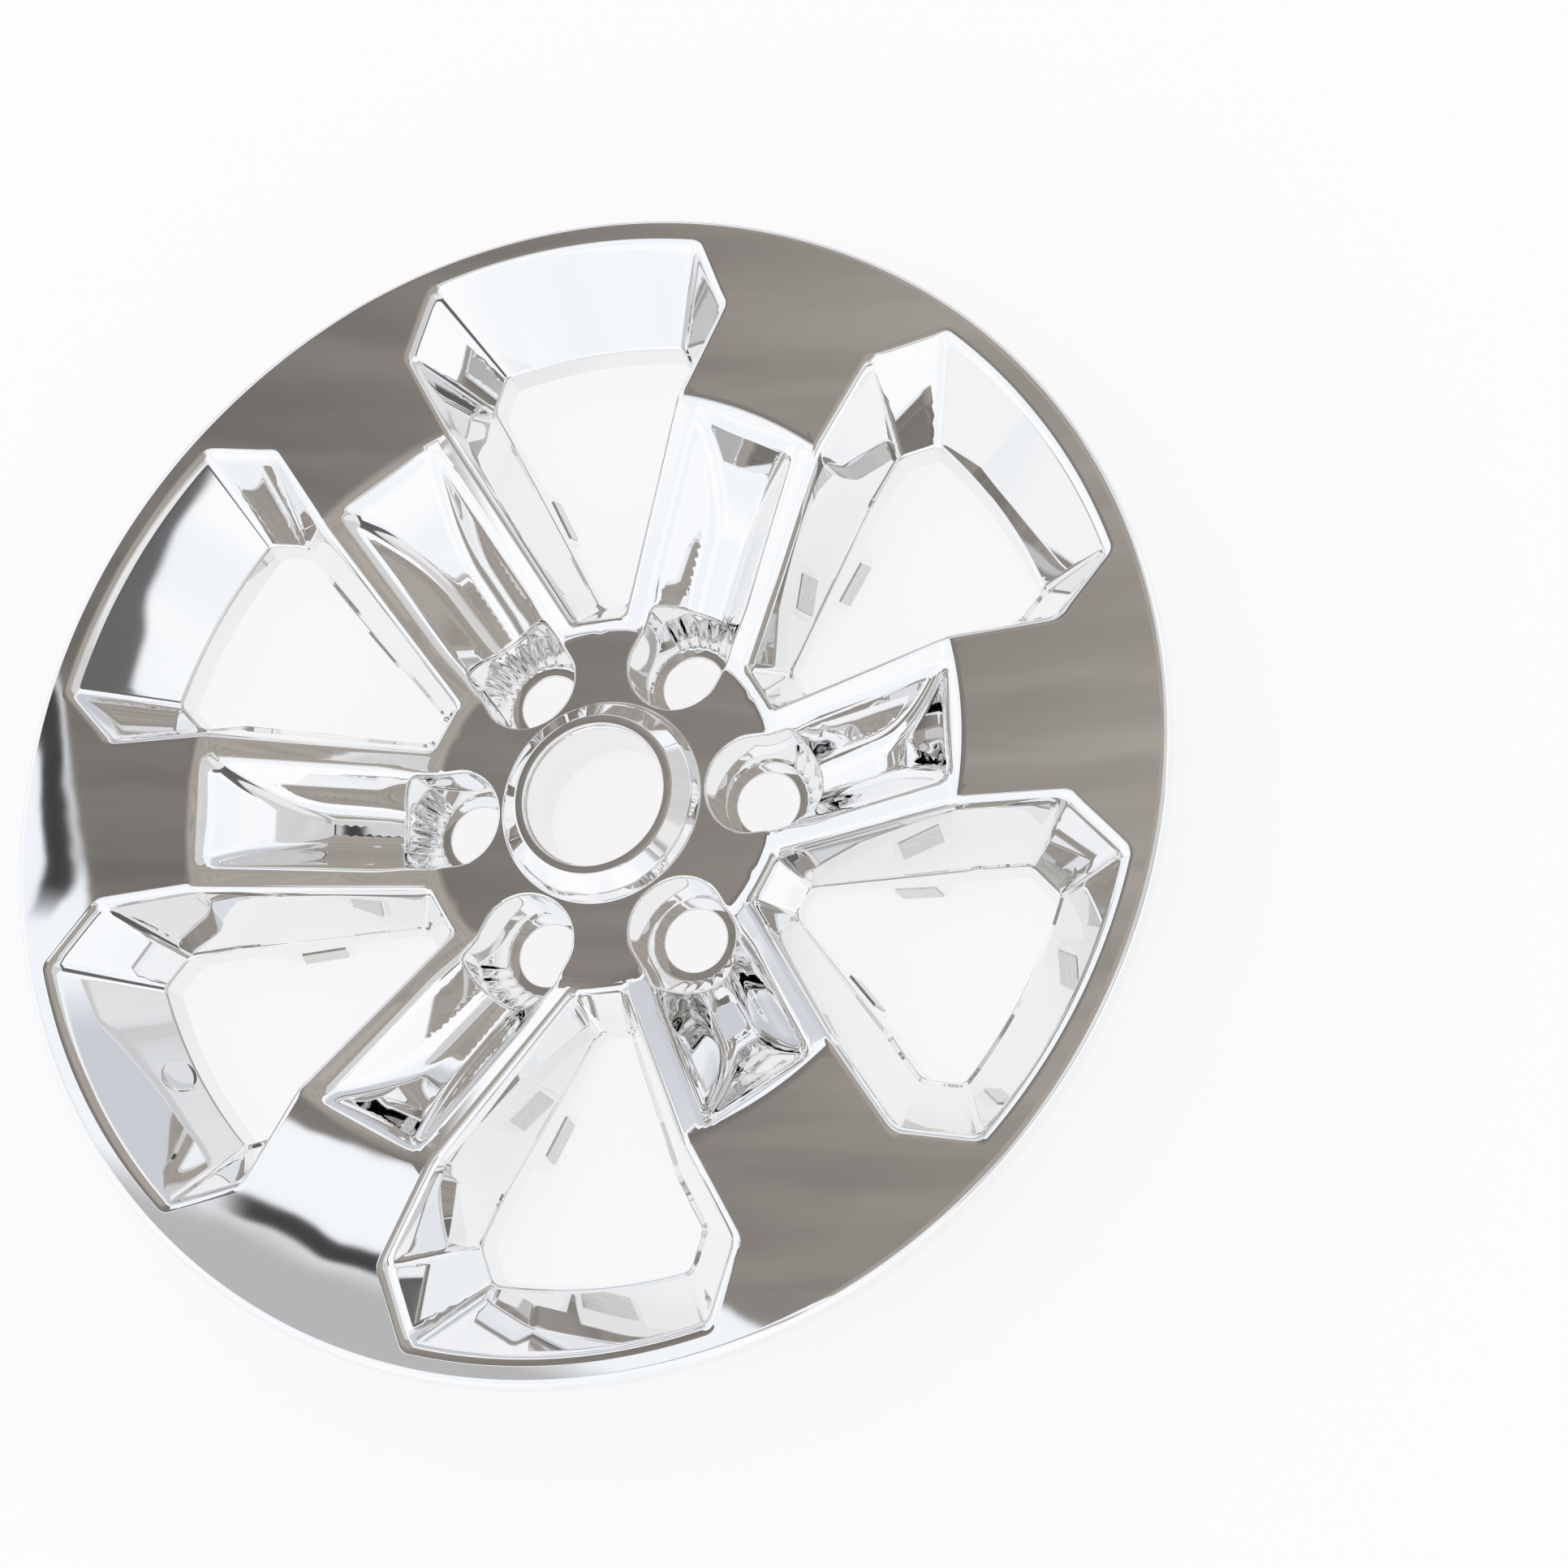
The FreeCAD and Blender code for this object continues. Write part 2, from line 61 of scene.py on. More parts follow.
# Sizes of the moulding that follow the solid, in millimetres; a draft is run over depth
WEB_HEIGHT = 31.0
DISH_FOOT = (88.0, 33.5)
WINDOW_INNER = (87.0, 12.0)
WINDOW_CORNER = (210.4, 76.3)
WINDOW_SHOULDER = 64.8
SIDE_DRAFT = 0.39
CHAMFER_DRAFT = 0.68
ARC_DRAFT = 0.78
END_DRAFT = 0.55
END_SLOPE = 1.5
INNER_SHARE = 0.6
WALL_DEPTH = 41.0
SKIRT_DEPTH = 10.0
SKIRT_LEDGE = 1.4
SKIRT_SHARE = 0.35
TAB_INSET = 14.0
TAB_WIDTH = 27.0
TAB_HEIGHT = 13.0
TAB_TAPER = 1.5
POCKET_END = 171.0
POCKET_HALF = (22.0, 25.0)
POCKET_SIDE_DRAFT = 0.86
POCKET_END_DRAFT = 1.9
POCKET_SCOOP = 20.0
POCKET_FILLET = 6.5
POCKET_MOUTH = 78.0
POCKET_MOUTH_SLOPE = 3.0
POCKET_LEAVES_WEB = 84.0
POCKET_TURN_RUN = 22.0
POCKET_CORNER = 11.0
POCKET_SPREAD = 1.3
WELL_SEAT = 19.5
WELL_MOUTH = 29.5
WELL_HUB_REACH = 20.2
WELL_STEEPNESS = 1.79
WELL_LIP_DEPTH = 1.8
WELL_LIP_OUTER = 1.6
WELL_LIP_HUB = 1.2
FLUTE_PITCH = 14.0
FLUTE_SETBACK = 0.5
RIM_ROUND = 4.5
RIM_FOOT = (263.5, 66.0)
HUB_EDGE = 47.6
BOSS_TURN = 210.0
BOSS_RADIUS = 8.5
BOSS_DEPTH = 35.0
BOSS_HEIGHT = 1.2
HUB_PROFILE = [
    (HUB_EDGE, 31.0), (47.15, 31.12), (46.8, 31.45), (46.6, 31.95), (45.05, 35.7), (44.75, 36.3),
    (44.25, 36.75), (43.6, 37.25), (38.2, 41.05), (37.75, 41.4), (37.25, 41.7), (36.6, 41.85),
    (33.7, 41.9), (33.35, 41.8), (33.17, 41.55), (33.1, 39.6), (33.0, 39.25), (32.75, 39.05),
    (32.4, 38.95), (32.12, 38.75), (32.0, 38.4), (32.0, 28.0), (32.0, 18.0), (32.0, 8.0),
]

# How near two heights come before their meeting is rounded, in millimetres
CREASE_REACH = 1.6
CORNER_REACH = 5.0
SHOULDER_REACH = 4.0
END_REACH = 6.0
MOUTH_REACH = 1.0
POCKET_EDGE_SHARE = 1.3
WALL_BLEND = 0.4

# Rounds of a window's corners in plan, and points along each stretch of half a window
INNER_ROUND = 4.5
INNER_ROUND_RUN = 3.8
CORNER_ROUND = 4.0
SHOULDER_ROUND = 3.0
END_POINTS = 3
INNER_POINTS = 6
SIDE_POINTS = (10, 7, 5)
OUTER_SIDE_POINTS = 12
CORNER_POINTS = 5
CHAMFER_POINTS = 7
ARC_POINTS = 17

# Rows of vertices: shares of a soft edge's half width, a wall, a skirt, a well's lip and its
# flutes, and distances from a crease
EDGE_ROWS = (-1.25, -0.8, -0.4, 0.0, 0.4, 0.8, 1.25)
WALL_ROWS = (0.06, 0.12, 0.26, 0.4, 0.55, 0.7, 0.85, 1.0)
SKIRT_ROWS = (0.0, 0.08, 0.5, 1.0)
LIP_ROWS = (0.0, 0.2, 0.4, 0.6, 0.8, 1.0)
FLUTE_ROWS = (0.0, 0.12, 0.35, 0.6, 0.82, 0.95, 1.0)
CREASE_ROWS = np.array([-3.4, -1.7, 0.0, 1.7, 3.4])
HUB_COLUMNS = 29
RIM_COLUMNS = 49
WELL_FLUTED_ARC = 52.5
WELL_FINE_STEP = 1.75
WELL_COARSE_POINTS = 66
BOSS_COLUMNS = 48

# Spacing of the points that fill the face, and how far they keep from the rows, in steps
FILL_STEP = 6.5
POCKET_STEP = 2.2
POCKET_ROW_STEP = 3.2
FILL_START = 40
FILL_REACH = 150
FILL_MARGIN = 2.0
ROW_PITCH = 0.866
EDGE_GAP = 0.35
ROW_GAP = 0.4

# Points nearer than this are one, flatter triangles are dropped, folded faces are drawn in
WELD = 0.002
SLIVER = 0.004
FOLDED = 0.3

# What the chrome mirrors: lines in plan over directions, each a point and the way it faces
CEILING_WEST = ((-0.50, 0.0), (1.0, 0.0))
CEILING_NORTH = ((-0.452, 0.2155), (0.4226, 0.9063))
CEILING_CORNER = ((-0.30, 0.155), (0.879, 0.476))
CEILING_EAST = ((0.49, 0.0), (-1.0, 0.0))
CEILING_SOUTH = ((0.0, -0.48), (0.0, 1.0))
EDGE_WANDER = 0.008
COOL_WHITE = (0.96, 0.99, 1.03)
WARM_WHITE = (1.06, 1.06, 1.06)
NORTH_COLOUR = (0.63, 0.65, 0.7)
DUSK_COLOUR = (0.5, 0.5, 0.5)
BAND_COLOUR = (0.05, 0.048, 0.047)

# Camera, in metres, and half the side of the floor
CAMERA_PLACE = (0.4143, -0.4034, 1.1341)
CAMERA_RIGHT = (0.9563, -0.0192, -0.2917)
CAMERA_BACK = (0.2695, -0.3293, 0.9050)
CAMERA_LENS = 63.75
FLOOR_REACH = 12.0


class CoverSizes(bpy.types.PropertyGroup):
    """Sizes of the chrome skin that a user would change."""
    outer_radius: bpy.props.FloatProperty(
        name="Outer radius", description="Axle to the outer edge of the rim",
        default=0.265, unit="LENGTH")
    face_height: bpy.props.FloatProperty(
        name="Face height", description="Lug seats to the flat outer face",
        default=0.082, unit="LENGTH")
    crease_radius: bpy.props.FloatProperty(
        name="Crease radius", description="Where the flat face turns down into the dish",
        default=0.177, unit="LENGTH")
    wall: bpy.props.FloatProperty(
        name="Wall", description="Thickness of the moulded skin", default=0.0026, unit="LENGTH")
    window_rim: bpy.props.FloatProperty(
        name="Rim band", description="Face left between a window and the rim",
        default=0.013, unit="LENGTH")
    window_edge: bpy.props.FloatProperty(
        name="Window edge", description="Half width of the soft edge round a window",
        default=0.0027, unit="LENGTH")
    pocket_edge: bpy.props.FloatProperty(
        name="Pocket edge", description="Half width of the soft edge round a lug pocket",
        default=0.0028, unit="LENGTH")
    pocket_depth: bpy.props.FloatProperty(
        name="Pocket depth", description="Depth of a lug pocket below the dish",
        default=0.018, unit="LENGTH")
    lug_circle: bpy.props.FloatProperty(
        name="Lug circle", description="Diameter of the circle of lug holes",
        default=0.1397, unit="LENGTH")
    lug_hole: bpy.props.FloatProperty(
        name="Lug hole", description="Radius of a lug hole", default=0.0145, unit="LENGTH")
    flutes: bpy.props.IntProperty(
        name="Flutes", description="Ribs up the outer side of a lug well", default=7, min=0)
    flute_height: bpy.props.FloatProperty(
        name="Flute height", description="How far a rib stands out", default=0.0014, unit="LENGTH")


class CoverFinish(bpy.types.PropertyGroup):
    """Finishes of the chrome and of the spring steel."""
    chrome: bpy.props.FloatVectorProperty(
        name="Chrome", description="Tint of the plated skin", subtype="COLOR", size=3,
        default=(0.92, 0.922, 0.926), min=0.0, max=1.0)
    chrome_roughness: bpy.props.FloatProperty(
        name="Chrome roughness", description="Haze of the plating", subtype="FACTOR",
        default=0.022, min=0.0, max=1.0)
    steel: bpy.props.FloatVectorProperty(
        name="Spring steel", description="Tint of the clips", subtype="COLOR", size=3,
        default=(0.76, 0.755, 0.74), min=0.0, max=1.0)


class CoverStage(bpy.types.PropertyGroup):
    """Floor and studio round the cover."""
    floor: bpy.props.FloatVectorProperty(
        name="Floor", description="Colour of the floor", subtype="COLOR", size=3,
        default=(0.9, 0.9, 0.9), min=0.0, max=1.0)
    ceiling: bpy.props.FloatVectorProperty(
        name="Ceiling", description="Colour of the dim ceiling that the face mirrors",
        subtype="COLOR", size=3, default=(0.285, 0.262, 0.237), min=0.0, max=1.0)


# Plan geometry in numpy, in millimetres

def soft_min(a, b, reach):
    """Lower of two heights with a rounded meeting where they are within reach."""
    share = np.maximum(reach - np.abs(a - b), 0.0) / reach
    return np.minimum(a, b) - share * share * reach / 4


def soft_max(a, b, reach):
    """Higher of two heights, rounded in the same way."""
    return -soft_min(-a, -b, reach)


def unit(vector):
    """Vector of length one."""
    vector = np.asarray(vector, float)
    return vector / np.linalg.norm(vector)


def turned(points, angle):
    """Plan points or 3D points turned about the axle."""
    points = np.asarray(points, float)
    result = points.copy()
    cos, sin = math.cos(angle), math.sin(angle)
    result[..., 0] = points[..., 0] * cos - points[..., 1] * sin
    result[..., 1] = points[..., 0] * sin + points[..., 1] * cos
    return result


def line_meet(p, d, q, e):
    """Where the plan lines from p along d and from q along e meet."""
    cross = d[0] * e[1] - d[1] * e[0]
    s = ((q[0] - p[0]) * e[1] - (q[1] - p[1]) * e[0]) / cross
    return np.array([p[0] + s * d[0], p[1] + s * d[1]])


def line_circle(p, d, radius):
    """Where a plan line leaves a circle about the axle."""
    b = p[0] * d[0] + p[1] * d[1]
    c = p[0] ** 2 + p[1] ** 2 - radius ** 2
    s = -b + math.sqrt(b * b - c)
    return np.array([p[0] + s * d[0], p[1] + s * d[1]])


def inside(points, loop):
    """Which plan points lie inside a closed plan loop."""
    x, y = points[:, 0], points[:, 1]
    result = np.zeros(len(points), bool)
    for (x0, y0), (x1, y1) in zip(loop, np.roll(loop, -1, axis=0)):
        if y0 == y1:
            continue
        crossing = (y0 > y) != (y1 > y)
        result ^= crossing & (x < (x1 - x0) * (y - y0) / (y1 - y0) + x0)
    return result


class Skin:
    """Front surface of the moulding over one spoke along +X, as heights over the plan."""

    def __init__(self, sizes):
        self.rim = sizes.outer_radius / MM
        self.face = sizes.face_height / MM
        self.crease = sizes.crease_radius / MM
        self.wall = sizes.wall / MM
        self.arc = self.rim - sizes.window_rim / MM
        self.window_edge = sizes.window_edge / MM
        self.pocket_edge = sizes.pocket_edge / MM
        self.pocket_depth = sizes.pocket_depth / MM
        self.lug = sizes.lug_circle / MM / 2
        self.lug_hole = sizes.lug_hole / MM
        self.flutes = sizes.flutes
        self.flute_height = sizes.flute_height / MM
        self.slope = (self.face - DISH_FOOT[1]) / (self.crease - DISH_FOOT[0])
        self.tilt = math.atan(self.slope)
        self.web_edge = self.crease - (self.face - WEB_HEIGHT) / self.slope
        inner = np.array(WINDOW_INNER)
        corner = np.array(WINDOW_CORNER)
        self.side_along = unit(corner - inner)
        self.side_in = np.array([self.side_along[1], -self.side_along[0]])
        self.crease_point = line_circle(inner, self.side_along, self.crease)
        shoulder = np.array([math.sqrt(self.arc ** 2 - WINDOW_SHOULDER ** 2), WINDOW_SHOULDER])
        self.chamfer_along = unit(shoulder - corner)
        self.chamfer_in = np.array([self.chamfer_along[1], -self.chamfer_along[0]])

    def face_height(self, r):
        """Turned face from the web round the hub to the flat outer ring."""
        dish = self.face - (self.crease - r) * self.slope
        low = soft_max(WEB_HEIGHT + 0.0 * r, dish, CREASE_REACH)
        return soft_min(self.face + 0.0 * r, low, CREASE_REACH)

    def window_wall(self, a, c):
        """Height of the leaning walls of a window and the reach of its soft edge."""
        u = (a - WINDOW_INNER[0]) * self.side_along[0] + (c - WINDOW_INNER[1]) * self.side_along[1]
        s = (a - WINDOW_INNER[0]) * self.side_in[0] + (c - WINDOW_INNER[1]) * self.side_in[1]
        run = np.linalg.norm(self.crease_point - np.array(WINDOW_INNER))
        dish = DISH_FOOT[1] + (self.face - DISH_FOOT[1]) * u / run
        edge = soft_min(self.face + 0.0 * u, dish, CREASE_REACH)
        t = ((a - WINDOW_CORNER[0]) * self.chamfer_in[0]
             + (c - WINDOW_CORNER[1]) * self.chamfer_in[1])
        walls = [edge - s / SIDE_DRAFT, self.face - t / CHAMFER_DRAFT,
                 self.face - (self.arc - np.hypot(a, c)) / ARC_DRAFT,
                 DISH_FOOT[1] - END_SLOPE * (a - WINDOW_INNER[0])]
        steep = [1 / SIDE_DRAFT, 1 / CHAMFER_DRAFT, 1 / ARC_DRAFT, END_SLOPE]
        height = soft_max(walls[0], walls[1], CORNER_REACH)
        height = soft_max(height, walls[2], SHOULDER_REACH)
        height = soft_max(height, walls[3], END_REACH)
        top = np.maximum.reduce(walls)
        weights = [np.exp(np.clip(WALL_BLEND * (w - top), -40, 0)) for w in walls]
        reach = sum(w * g for w, g in zip(weights, steep)) / sum(weights) * self.window_edge
        return height, reach

    def trough(self, x, y, face):
        """Height of the sloping lug pocket without its well."""
        across = np.abs(y)
        cos, sin = math.cos(self.tilt), math.sin(self.tilt)
        X = x - self.lug
        base = self.face - (self.crease - self.lug) * self.slope
        length = (POCKET_END - self.lug) / cos
        taper = (POCKET_HALF[1] - POCKET_HALF[0]) / length
        lean = taper * sin + POCKET_SIDE_DRAFT * cos
        far_side = base + (across - POCKET_HALF[0] - taper * X * cos
                           + POCKET_SIDE_DRAFT * X * sin) / lean
        near_side = face + (across - POCKET_HALF[0]) / lean
        share = np.clip((x - POCKET_LEAVES_WEB) / POCKET_TURN_RUN, 0, 1)
        share = share * share * (3 - 2 * share)
        side = near_side + (far_side - near_side) * share
        end_lean = POCKET_END_DRAFT * cos - sin
        end = base + (X * cos + POCKET_END_DRAFT * X * sin - length) / end_lean
        floor = base + (X * sin - self.pocket_depth) / cos
        start = face + (POCKET_MOUTH - x) * POCKET_MOUTH_SLOPE
        bowl = soft_max(soft_max(end, floor, POCKET_SCOOP), side, POCKET_FILLET)
        return soft_max(bowl, start, MOUTH_REACH)

    def height(self, x, y):
        """Height of the front surface over the plan, wells left out."""
        face = self.face_height(np.hypot(x, y))
        result = face
        for turn in (STEP / 2, -STEP / 2):
            a = x * math.cos(turn) + y * math.sin(turn)
            c = np.abs(y * math.cos(turn) - x * math.sin(turn))
            wall, reach = self.window_wall(a, c)
            result = soft_min(result, wall, reach)
        return soft_min(result, self.trough(x, y, face), self.pocket_edge * POCKET_EDGE_SHARE)

    def normal(self, x, y):
        """Outward normals of the front surface."""
        step = 0.01
        dx = (self.height(x + step, y) - self.height(x - step, y)) / (2 * step)
        dy = (self.height(x, y + step) - self.height(x, y - step)) / (2 * step)
        n = np.stack([-dx, -dy, np.ones_like(dx)], axis=-1)
        return n / np.linalg.norm(n, axis=-1, keepdims=True)

    # Window loops

    def half_loop(self, side, side_inner, chamfer, arc, end_along):
        """Plan points of half a window from its inner end to its outer arc, for given insets."""
        crease = self.crease_point + self.side_in * side
        inner = np.array(WINDOW_INNER) + self.side_in * side_inner
        chamfer_point = np.array(WINDOW_CORNER) + self.chamfer_in * chamfer
        corner = line_meet(crease, self.side_along, chamfer_point, self.chamfer_along)
        radius = self.arc - arc
        shoulder = line_circle(chamfer_point, self.chamfer_along, radius)
        share = (end_along - crease[0]) / (inner[0] - crease[0])
        first = crease + (inner - crease) * share
        start = np.array([end_along, 0.0])
        points = []

        def straight(p, q, shares):
            points.extend(p + (q - p) * t for t in shares)

        def bend(p, corner_point, q, count):
            for t in np.linspace(0, 1, count, endpoint=False):
                points.append((1 - t) ** 2 * p + 2 * t * (1 - t) * corner_point + t * t * q)

        def on_arc(angle):
            return radius * np.array([math.cos(angle), math.sin(angle)])

        cut_a = first + unit(start - first) * INNER_ROUND
        cut_b = first + unit(crease - first) * INNER_ROUND
        straight(start, cut_a, np.linspace(0, 1, END_POINTS, endpoint=False))
        bend(cut_a, first, cut_b, INNER_POINTS)
        straight(cut_b, crease, self.side_shares())
        cut_a = corner + unit(crease - corner) * CORNER_ROUND
        cut_b = corner + unit(shoulder - corner) * CORNER_ROUND
        straight(crease, cut_a, np.linspace(0, 1, OUTER_SIDE_POINTS, endpoint=False))
        bend(cut_a, corner, cut_b, CORNER_POINTS)
        cut_a = shoulder + unit(corner - shoulder) * SHOULDER_ROUND
        after = math.atan2(shoulder[1], shoulder[0]) - SHOULDER_ROUND / radius
        straight(cut_b, cut_a, np.linspace(0, 1, CHAMFER_POINTS, endpoint=False))
        bend(cut_a, shoulder, on_arc(after), CORNER_POINTS)
        points.extend(on_arc(after * (1 - t)) for t in np.linspace(0, 1, ARC_POINTS))
        return np.array(points)

    def side_shares(self):
        """Where the points of the straight side lie, with two of them at the tab's ends."""
        low, high = self.tab_shares()
        stretches = zip((0, low, high), (low, high, 1), SIDE_POINTS)
        return np.concatenate([np.linspace(*stretch, endpoint=False) for stretch in stretches])

    def tab_shares(self):
        """Shares of the straight side, at the skirt's foot, between which the tab lies."""
        lean = WALL_DEPTH + SKIRT_DEPTH * SKIRT_SHARE
        side = SIDE_DRAFT * lean + SKIRT_LEDGE
        end = WINDOW_INNER[0] + (END_DRAFT * lean + SKIRT_LEDGE) * INNER_SHARE + INNER_ROUND_RUN
        crease = self.crease_point[0] + self.side_in[0] * side
        outer = crease - TAB_INSET
        return (outer - TAB_WIDTH - end) / (crease - end), (outer - end) / (crease - end)

    def tab_columns(self):
        """First and last loop index of the tab."""
        low = END_POINTS + INNER_POINTS + SIDE_POINTS[0]
        return low, low + SIDE_POINTS[1]

    def offset_loop(self, inset):
        """Half a window drawn in evenly from its edge."""
        return self.half_loop(inset, inset, inset, inset, WINDOW_INNER[0] + inset)

    def depth_loop(self, lean, ledge):
        """Half a window as its leaning walls narrow it at a depth, less a ledge."""
        side = SIDE_DRAFT * lean + ledge
        return self.half_loop(side, side * INNER_SHARE, CHAMFER_DRAFT * lean + ledge,
                              ARC_DRAFT * lean + ledge,
                              WINDOW_INNER[0] + (END_DRAFT * lean + ledge) * INNER_SHARE)

    def depth_height(self, plan, side, depth):
        """Height of a wall loop at a depth that shrinks towards the hub."""
        crease = self.crease_point[0] + self.side_in[0] * side
        inner = WINDOW_INNER[0] + self.side_in[0] * side * INNER_SHARE
        share = np.maximum((plan[:, 0] - crease) / (inner - crease), 0)
        high = self.face - depth
        low = DISH_FOOT[1] - depth * INNER_SHARE
        return high + share * (low - high)

    def skirt_rows(self):
        """Ledge and lower facet of half a window, as rows of 3D points below the main wall."""
        lean = WALL_DEPTH + SKIRT_DEPTH * SKIRT_SHARE
        ledge = self.depth_loop(WALL_DEPTH, SKIRT_LEDGE)
        foot = self.depth_loop(lean, SKIRT_LEDGE)
        ledge_z = self.depth_height(ledge, SIDE_DRAFT * WALL_DEPTH + SKIRT_LEDGE, WALL_DEPTH)
        foot_z = self.depth_height(foot, SIDE_DRAFT * lean + SKIRT_LEDGE, WALL_DEPTH + SKIRT_DEPTH)
        upper = np.column_stack([ledge, ledge_z - 0.15])
        lower = np.column_stack([foot, foot_z])
        return [upper + (lower - upper) * t for t in SKIRT_ROWS]

    def tab_rows(self, foot):
        """Rows of the tab below the foot of the skirt."""
        low, high = self.tab_columns()
        depth = WALL_DEPTH + SKIRT_DEPTH + TAB_HEIGHT
        lean = WALL_DEPTH + (SKIRT_DEPTH + TAB_HEIGHT) * SKIRT_SHARE
        side = SIDE_DRAFT * lean + SKIRT_LEDGE
        crease = self.crease_point + self.side_in * side
        inner = np.array(WINDOW_INNER) + self.side_in * side * INNER_SHARE
        top = foot[low:high + 1]
        along = np.linspace(top[0, 0] + TAB_TAPER, top[-1, 0] - TAB_TAPER, len(top))
        share = (along - crease[0]) / (inner[0] - crease[0])
        plan = crease + (inner - crease) * share[:, None]
        bottom = np.column_stack([plan, self.depth_height(plan, side, depth)])
        return [top, top + (bottom - top) * 0.5, bottom]

    # Lug wells

    def well_angles(self):
        """Directions of a well's columns about the lug axis, close together at the flutes."""
        fine = np.radians(np.arange(-WELL_FLUTED_ARC, WELL_FLUTED_ARC, WELL_FINE_STEP))
        arc = math.radians(WELL_FLUTED_ARC)
        coarse = np.linspace(arc, 2 * math.pi - arc, WELL_COARSE_POINTS, endpoint=False)
        return np.concatenate([fine, coarse])

    def well_reach(self, angle):
        """Plan distance of the well's wall from the lug axis."""
        sine = np.maximum(np.abs(np.sin(angle)), 1e-3)
        outer = soft_min(WELL_MOUTH + 0.0 * angle, np.minimum(POCKET_HALF[0] / sine, 90.0), 2.0)
        hub = 1 / np.hypot(np.cos(angle) / WELL_HUB_REACH, np.sin(angle) / POCKET_HALF[0])
        return np.where(np.cos(angle) > 0, outer, hub)

    def well_point(self, angle, reach):
        """Plan points round the lug axis."""
        return np.column_stack([self.lug + reach * np.cos(angle), reach * np.sin(angle)])

    def well_rows(self):
        """Rows of 3D points from the mouth of a well to the lug hole."""
        angle = self.well_angles()
        reach = self.well_reach(angle)
        edge = self.well_point(angle, reach)
        top = self.height(edge[:, 0], edge[:, 1])
        lip = np.where(np.cos(angle) > -0.3, WELL_LIP_OUTER, WELL_LIP_HUB)
        outer = self.well_point(angle, reach + lip)
        start = np.column_stack([outer, self.height(outer[:, 0], outer[:, 1])])
        corner = np.column_stack([edge, top])
        knee = np.minimum(self.wall + (reach - WELL_SEAT) * WELL_STEEPNESS, top - 2.2)
        below = np.column_stack([edge, np.maximum(top - WELL_LIP_DEPTH, knee + 0.2)])
        rows = []
        for t in LIP_ROWS:
            rows.append((1 - t) ** 2 * start + 2 * t * (1 - t) * corner + t * t * below)
        turns = (np.degrees((angle + math.pi) % (2 * math.pi) - math.pi)) / FLUTE_PITCH
        wave = 0.5 + 0.5 * np.cos(2 * math.pi * turns)
        ribs = np.where(np.abs(turns) <= self.flutes / 2, wave, 0.0)
        for share in FLUTE_ROWS:
            radius = reach - FLUTE_SETBACK + (WELL_SEAT - reach + FLUTE_SETBACK) * share
            fade = min(1.0, 4 * (share + 0.04)) * min(1.0, 6 * (1.04 - share))
            radius = radius - ribs * self.flute_height * fade
            z = knee + (self.wall - knee) * share
            rows.append(np.column_stack([self.well_point(angle, radius), z]))
        for radius, drop in ((WELL_SEAT - 1.2, 0.0), (self.lug_hole + 0.7, 0.0),
                             (self.lug_hole + 0.2, 0.12), (self.lug_hole, 0.5)):
            z = np.full(len(angle), self.wall - drop)
            rows.append(np.column_stack([self.well_point(angle, radius + 0 * angle), z]))
        return rows

    # Plan triangulation of the front surface

    def pocket_row(self, inset_side, inset_end, cut):
        """Plan path along a pocket's edge, from the well out and back, at an inset."""
        near = POCKET_HALF[0] - inset_side
        far = POCKET_HALF[1] + POCKET_SPREAD - inset_side
        end = POCKET_END - inset_end
        xs = np.arange(POCKET_LEAVES_WEB, end - cut - 1.0, POCKET_ROW_STEP)
        path = [np.array([x, near + (far - near) * (x - self.lug) / (end - self.lug)]) for x in xs]
        ends = np.array([[end - cut, far], [end, far], [end, far - cut]])
        for t in np.linspace(0, 1, 8):
            path.append((1 - t) ** 2 * ends[0] + 2 * t * (1 - t) * ends[1] + t * t * ends[2])
        for y in np.linspace(far - cut, 0, max(3, int((far - cut) / 3)))[1:]:
            path.append(np.array([end, y]))
        half = np.array(path)
        return np.vstack([half, half[::-1][1:] * np.array([1, -1])])

    def in_window(self, plan, loop):
        """Which plan points lie inside a half loop of the window on either side of the spoke."""
        closed = np.vstack([loop, loop[-1] * [1, 0] - [0, 1], loop[0] - [0, 1]])
        result = np.zeros(len(plan), bool)
        for turn in (STEP / 2, -STEP / 2):
            local = turned(plan, -turn)
            local[:, 1] = np.abs(local[:, 1])
            result |= inside(local, closed)
        return result

    def front_sheet(self):
        """Triangulated front surface between hub, rim, windows and wells of one spoke."""
        half = STEP / 2
        flat = self.rim - RIM_ROUND
        points = []
        links = []

        def path(plan, closed=False):
            first = len(points)
            points.extend(map(tuple, plan))
            links.extend((first + i, first + i + 1) for i in range(len(plan) - 1))
            if closed:
                links.append((first + len(plan) - 1, first))

        def arc_points(radius, count):
            turns = np.linspace(-half, half, count)
            return radius * np.column_stack([np.cos(turns), np.sin(turns)])

        well = self.well_rows()[0][:, :2]
        path(well, closed=True)
        rows = [self.offset_loop(self.window_edge * t) for t in EDGE_ROWS]
        wall_foot = self.depth_loop(WALL_DEPTH, 0.0)
        rows += [rows[-1] + (wall_foot - rows[-1]) * t for t in WALL_ROWS]
        for sign in (1, -1):
            for row in rows:
                path(turned(row * [1, -sign], sign * half))
        path(arc_points(HUB_EDGE, HUB_COLUMNS))
        path(arc_points(flat, RIM_COLUMNS))
        for sign in (1, -1):
            ray = np.array([math.cos(half), sign * math.sin(half)])
            path([ray * r for r in np.linspace(HUB_EDGE, rows[0][0, 0], 8)])
            path([ray * r for r in np.linspace(rows[0][-1, 0], flat, 3)])
        edges = np.vstack([turned(rows[0] * [1, -s], s * half) for s in (1, -1)] + [well])

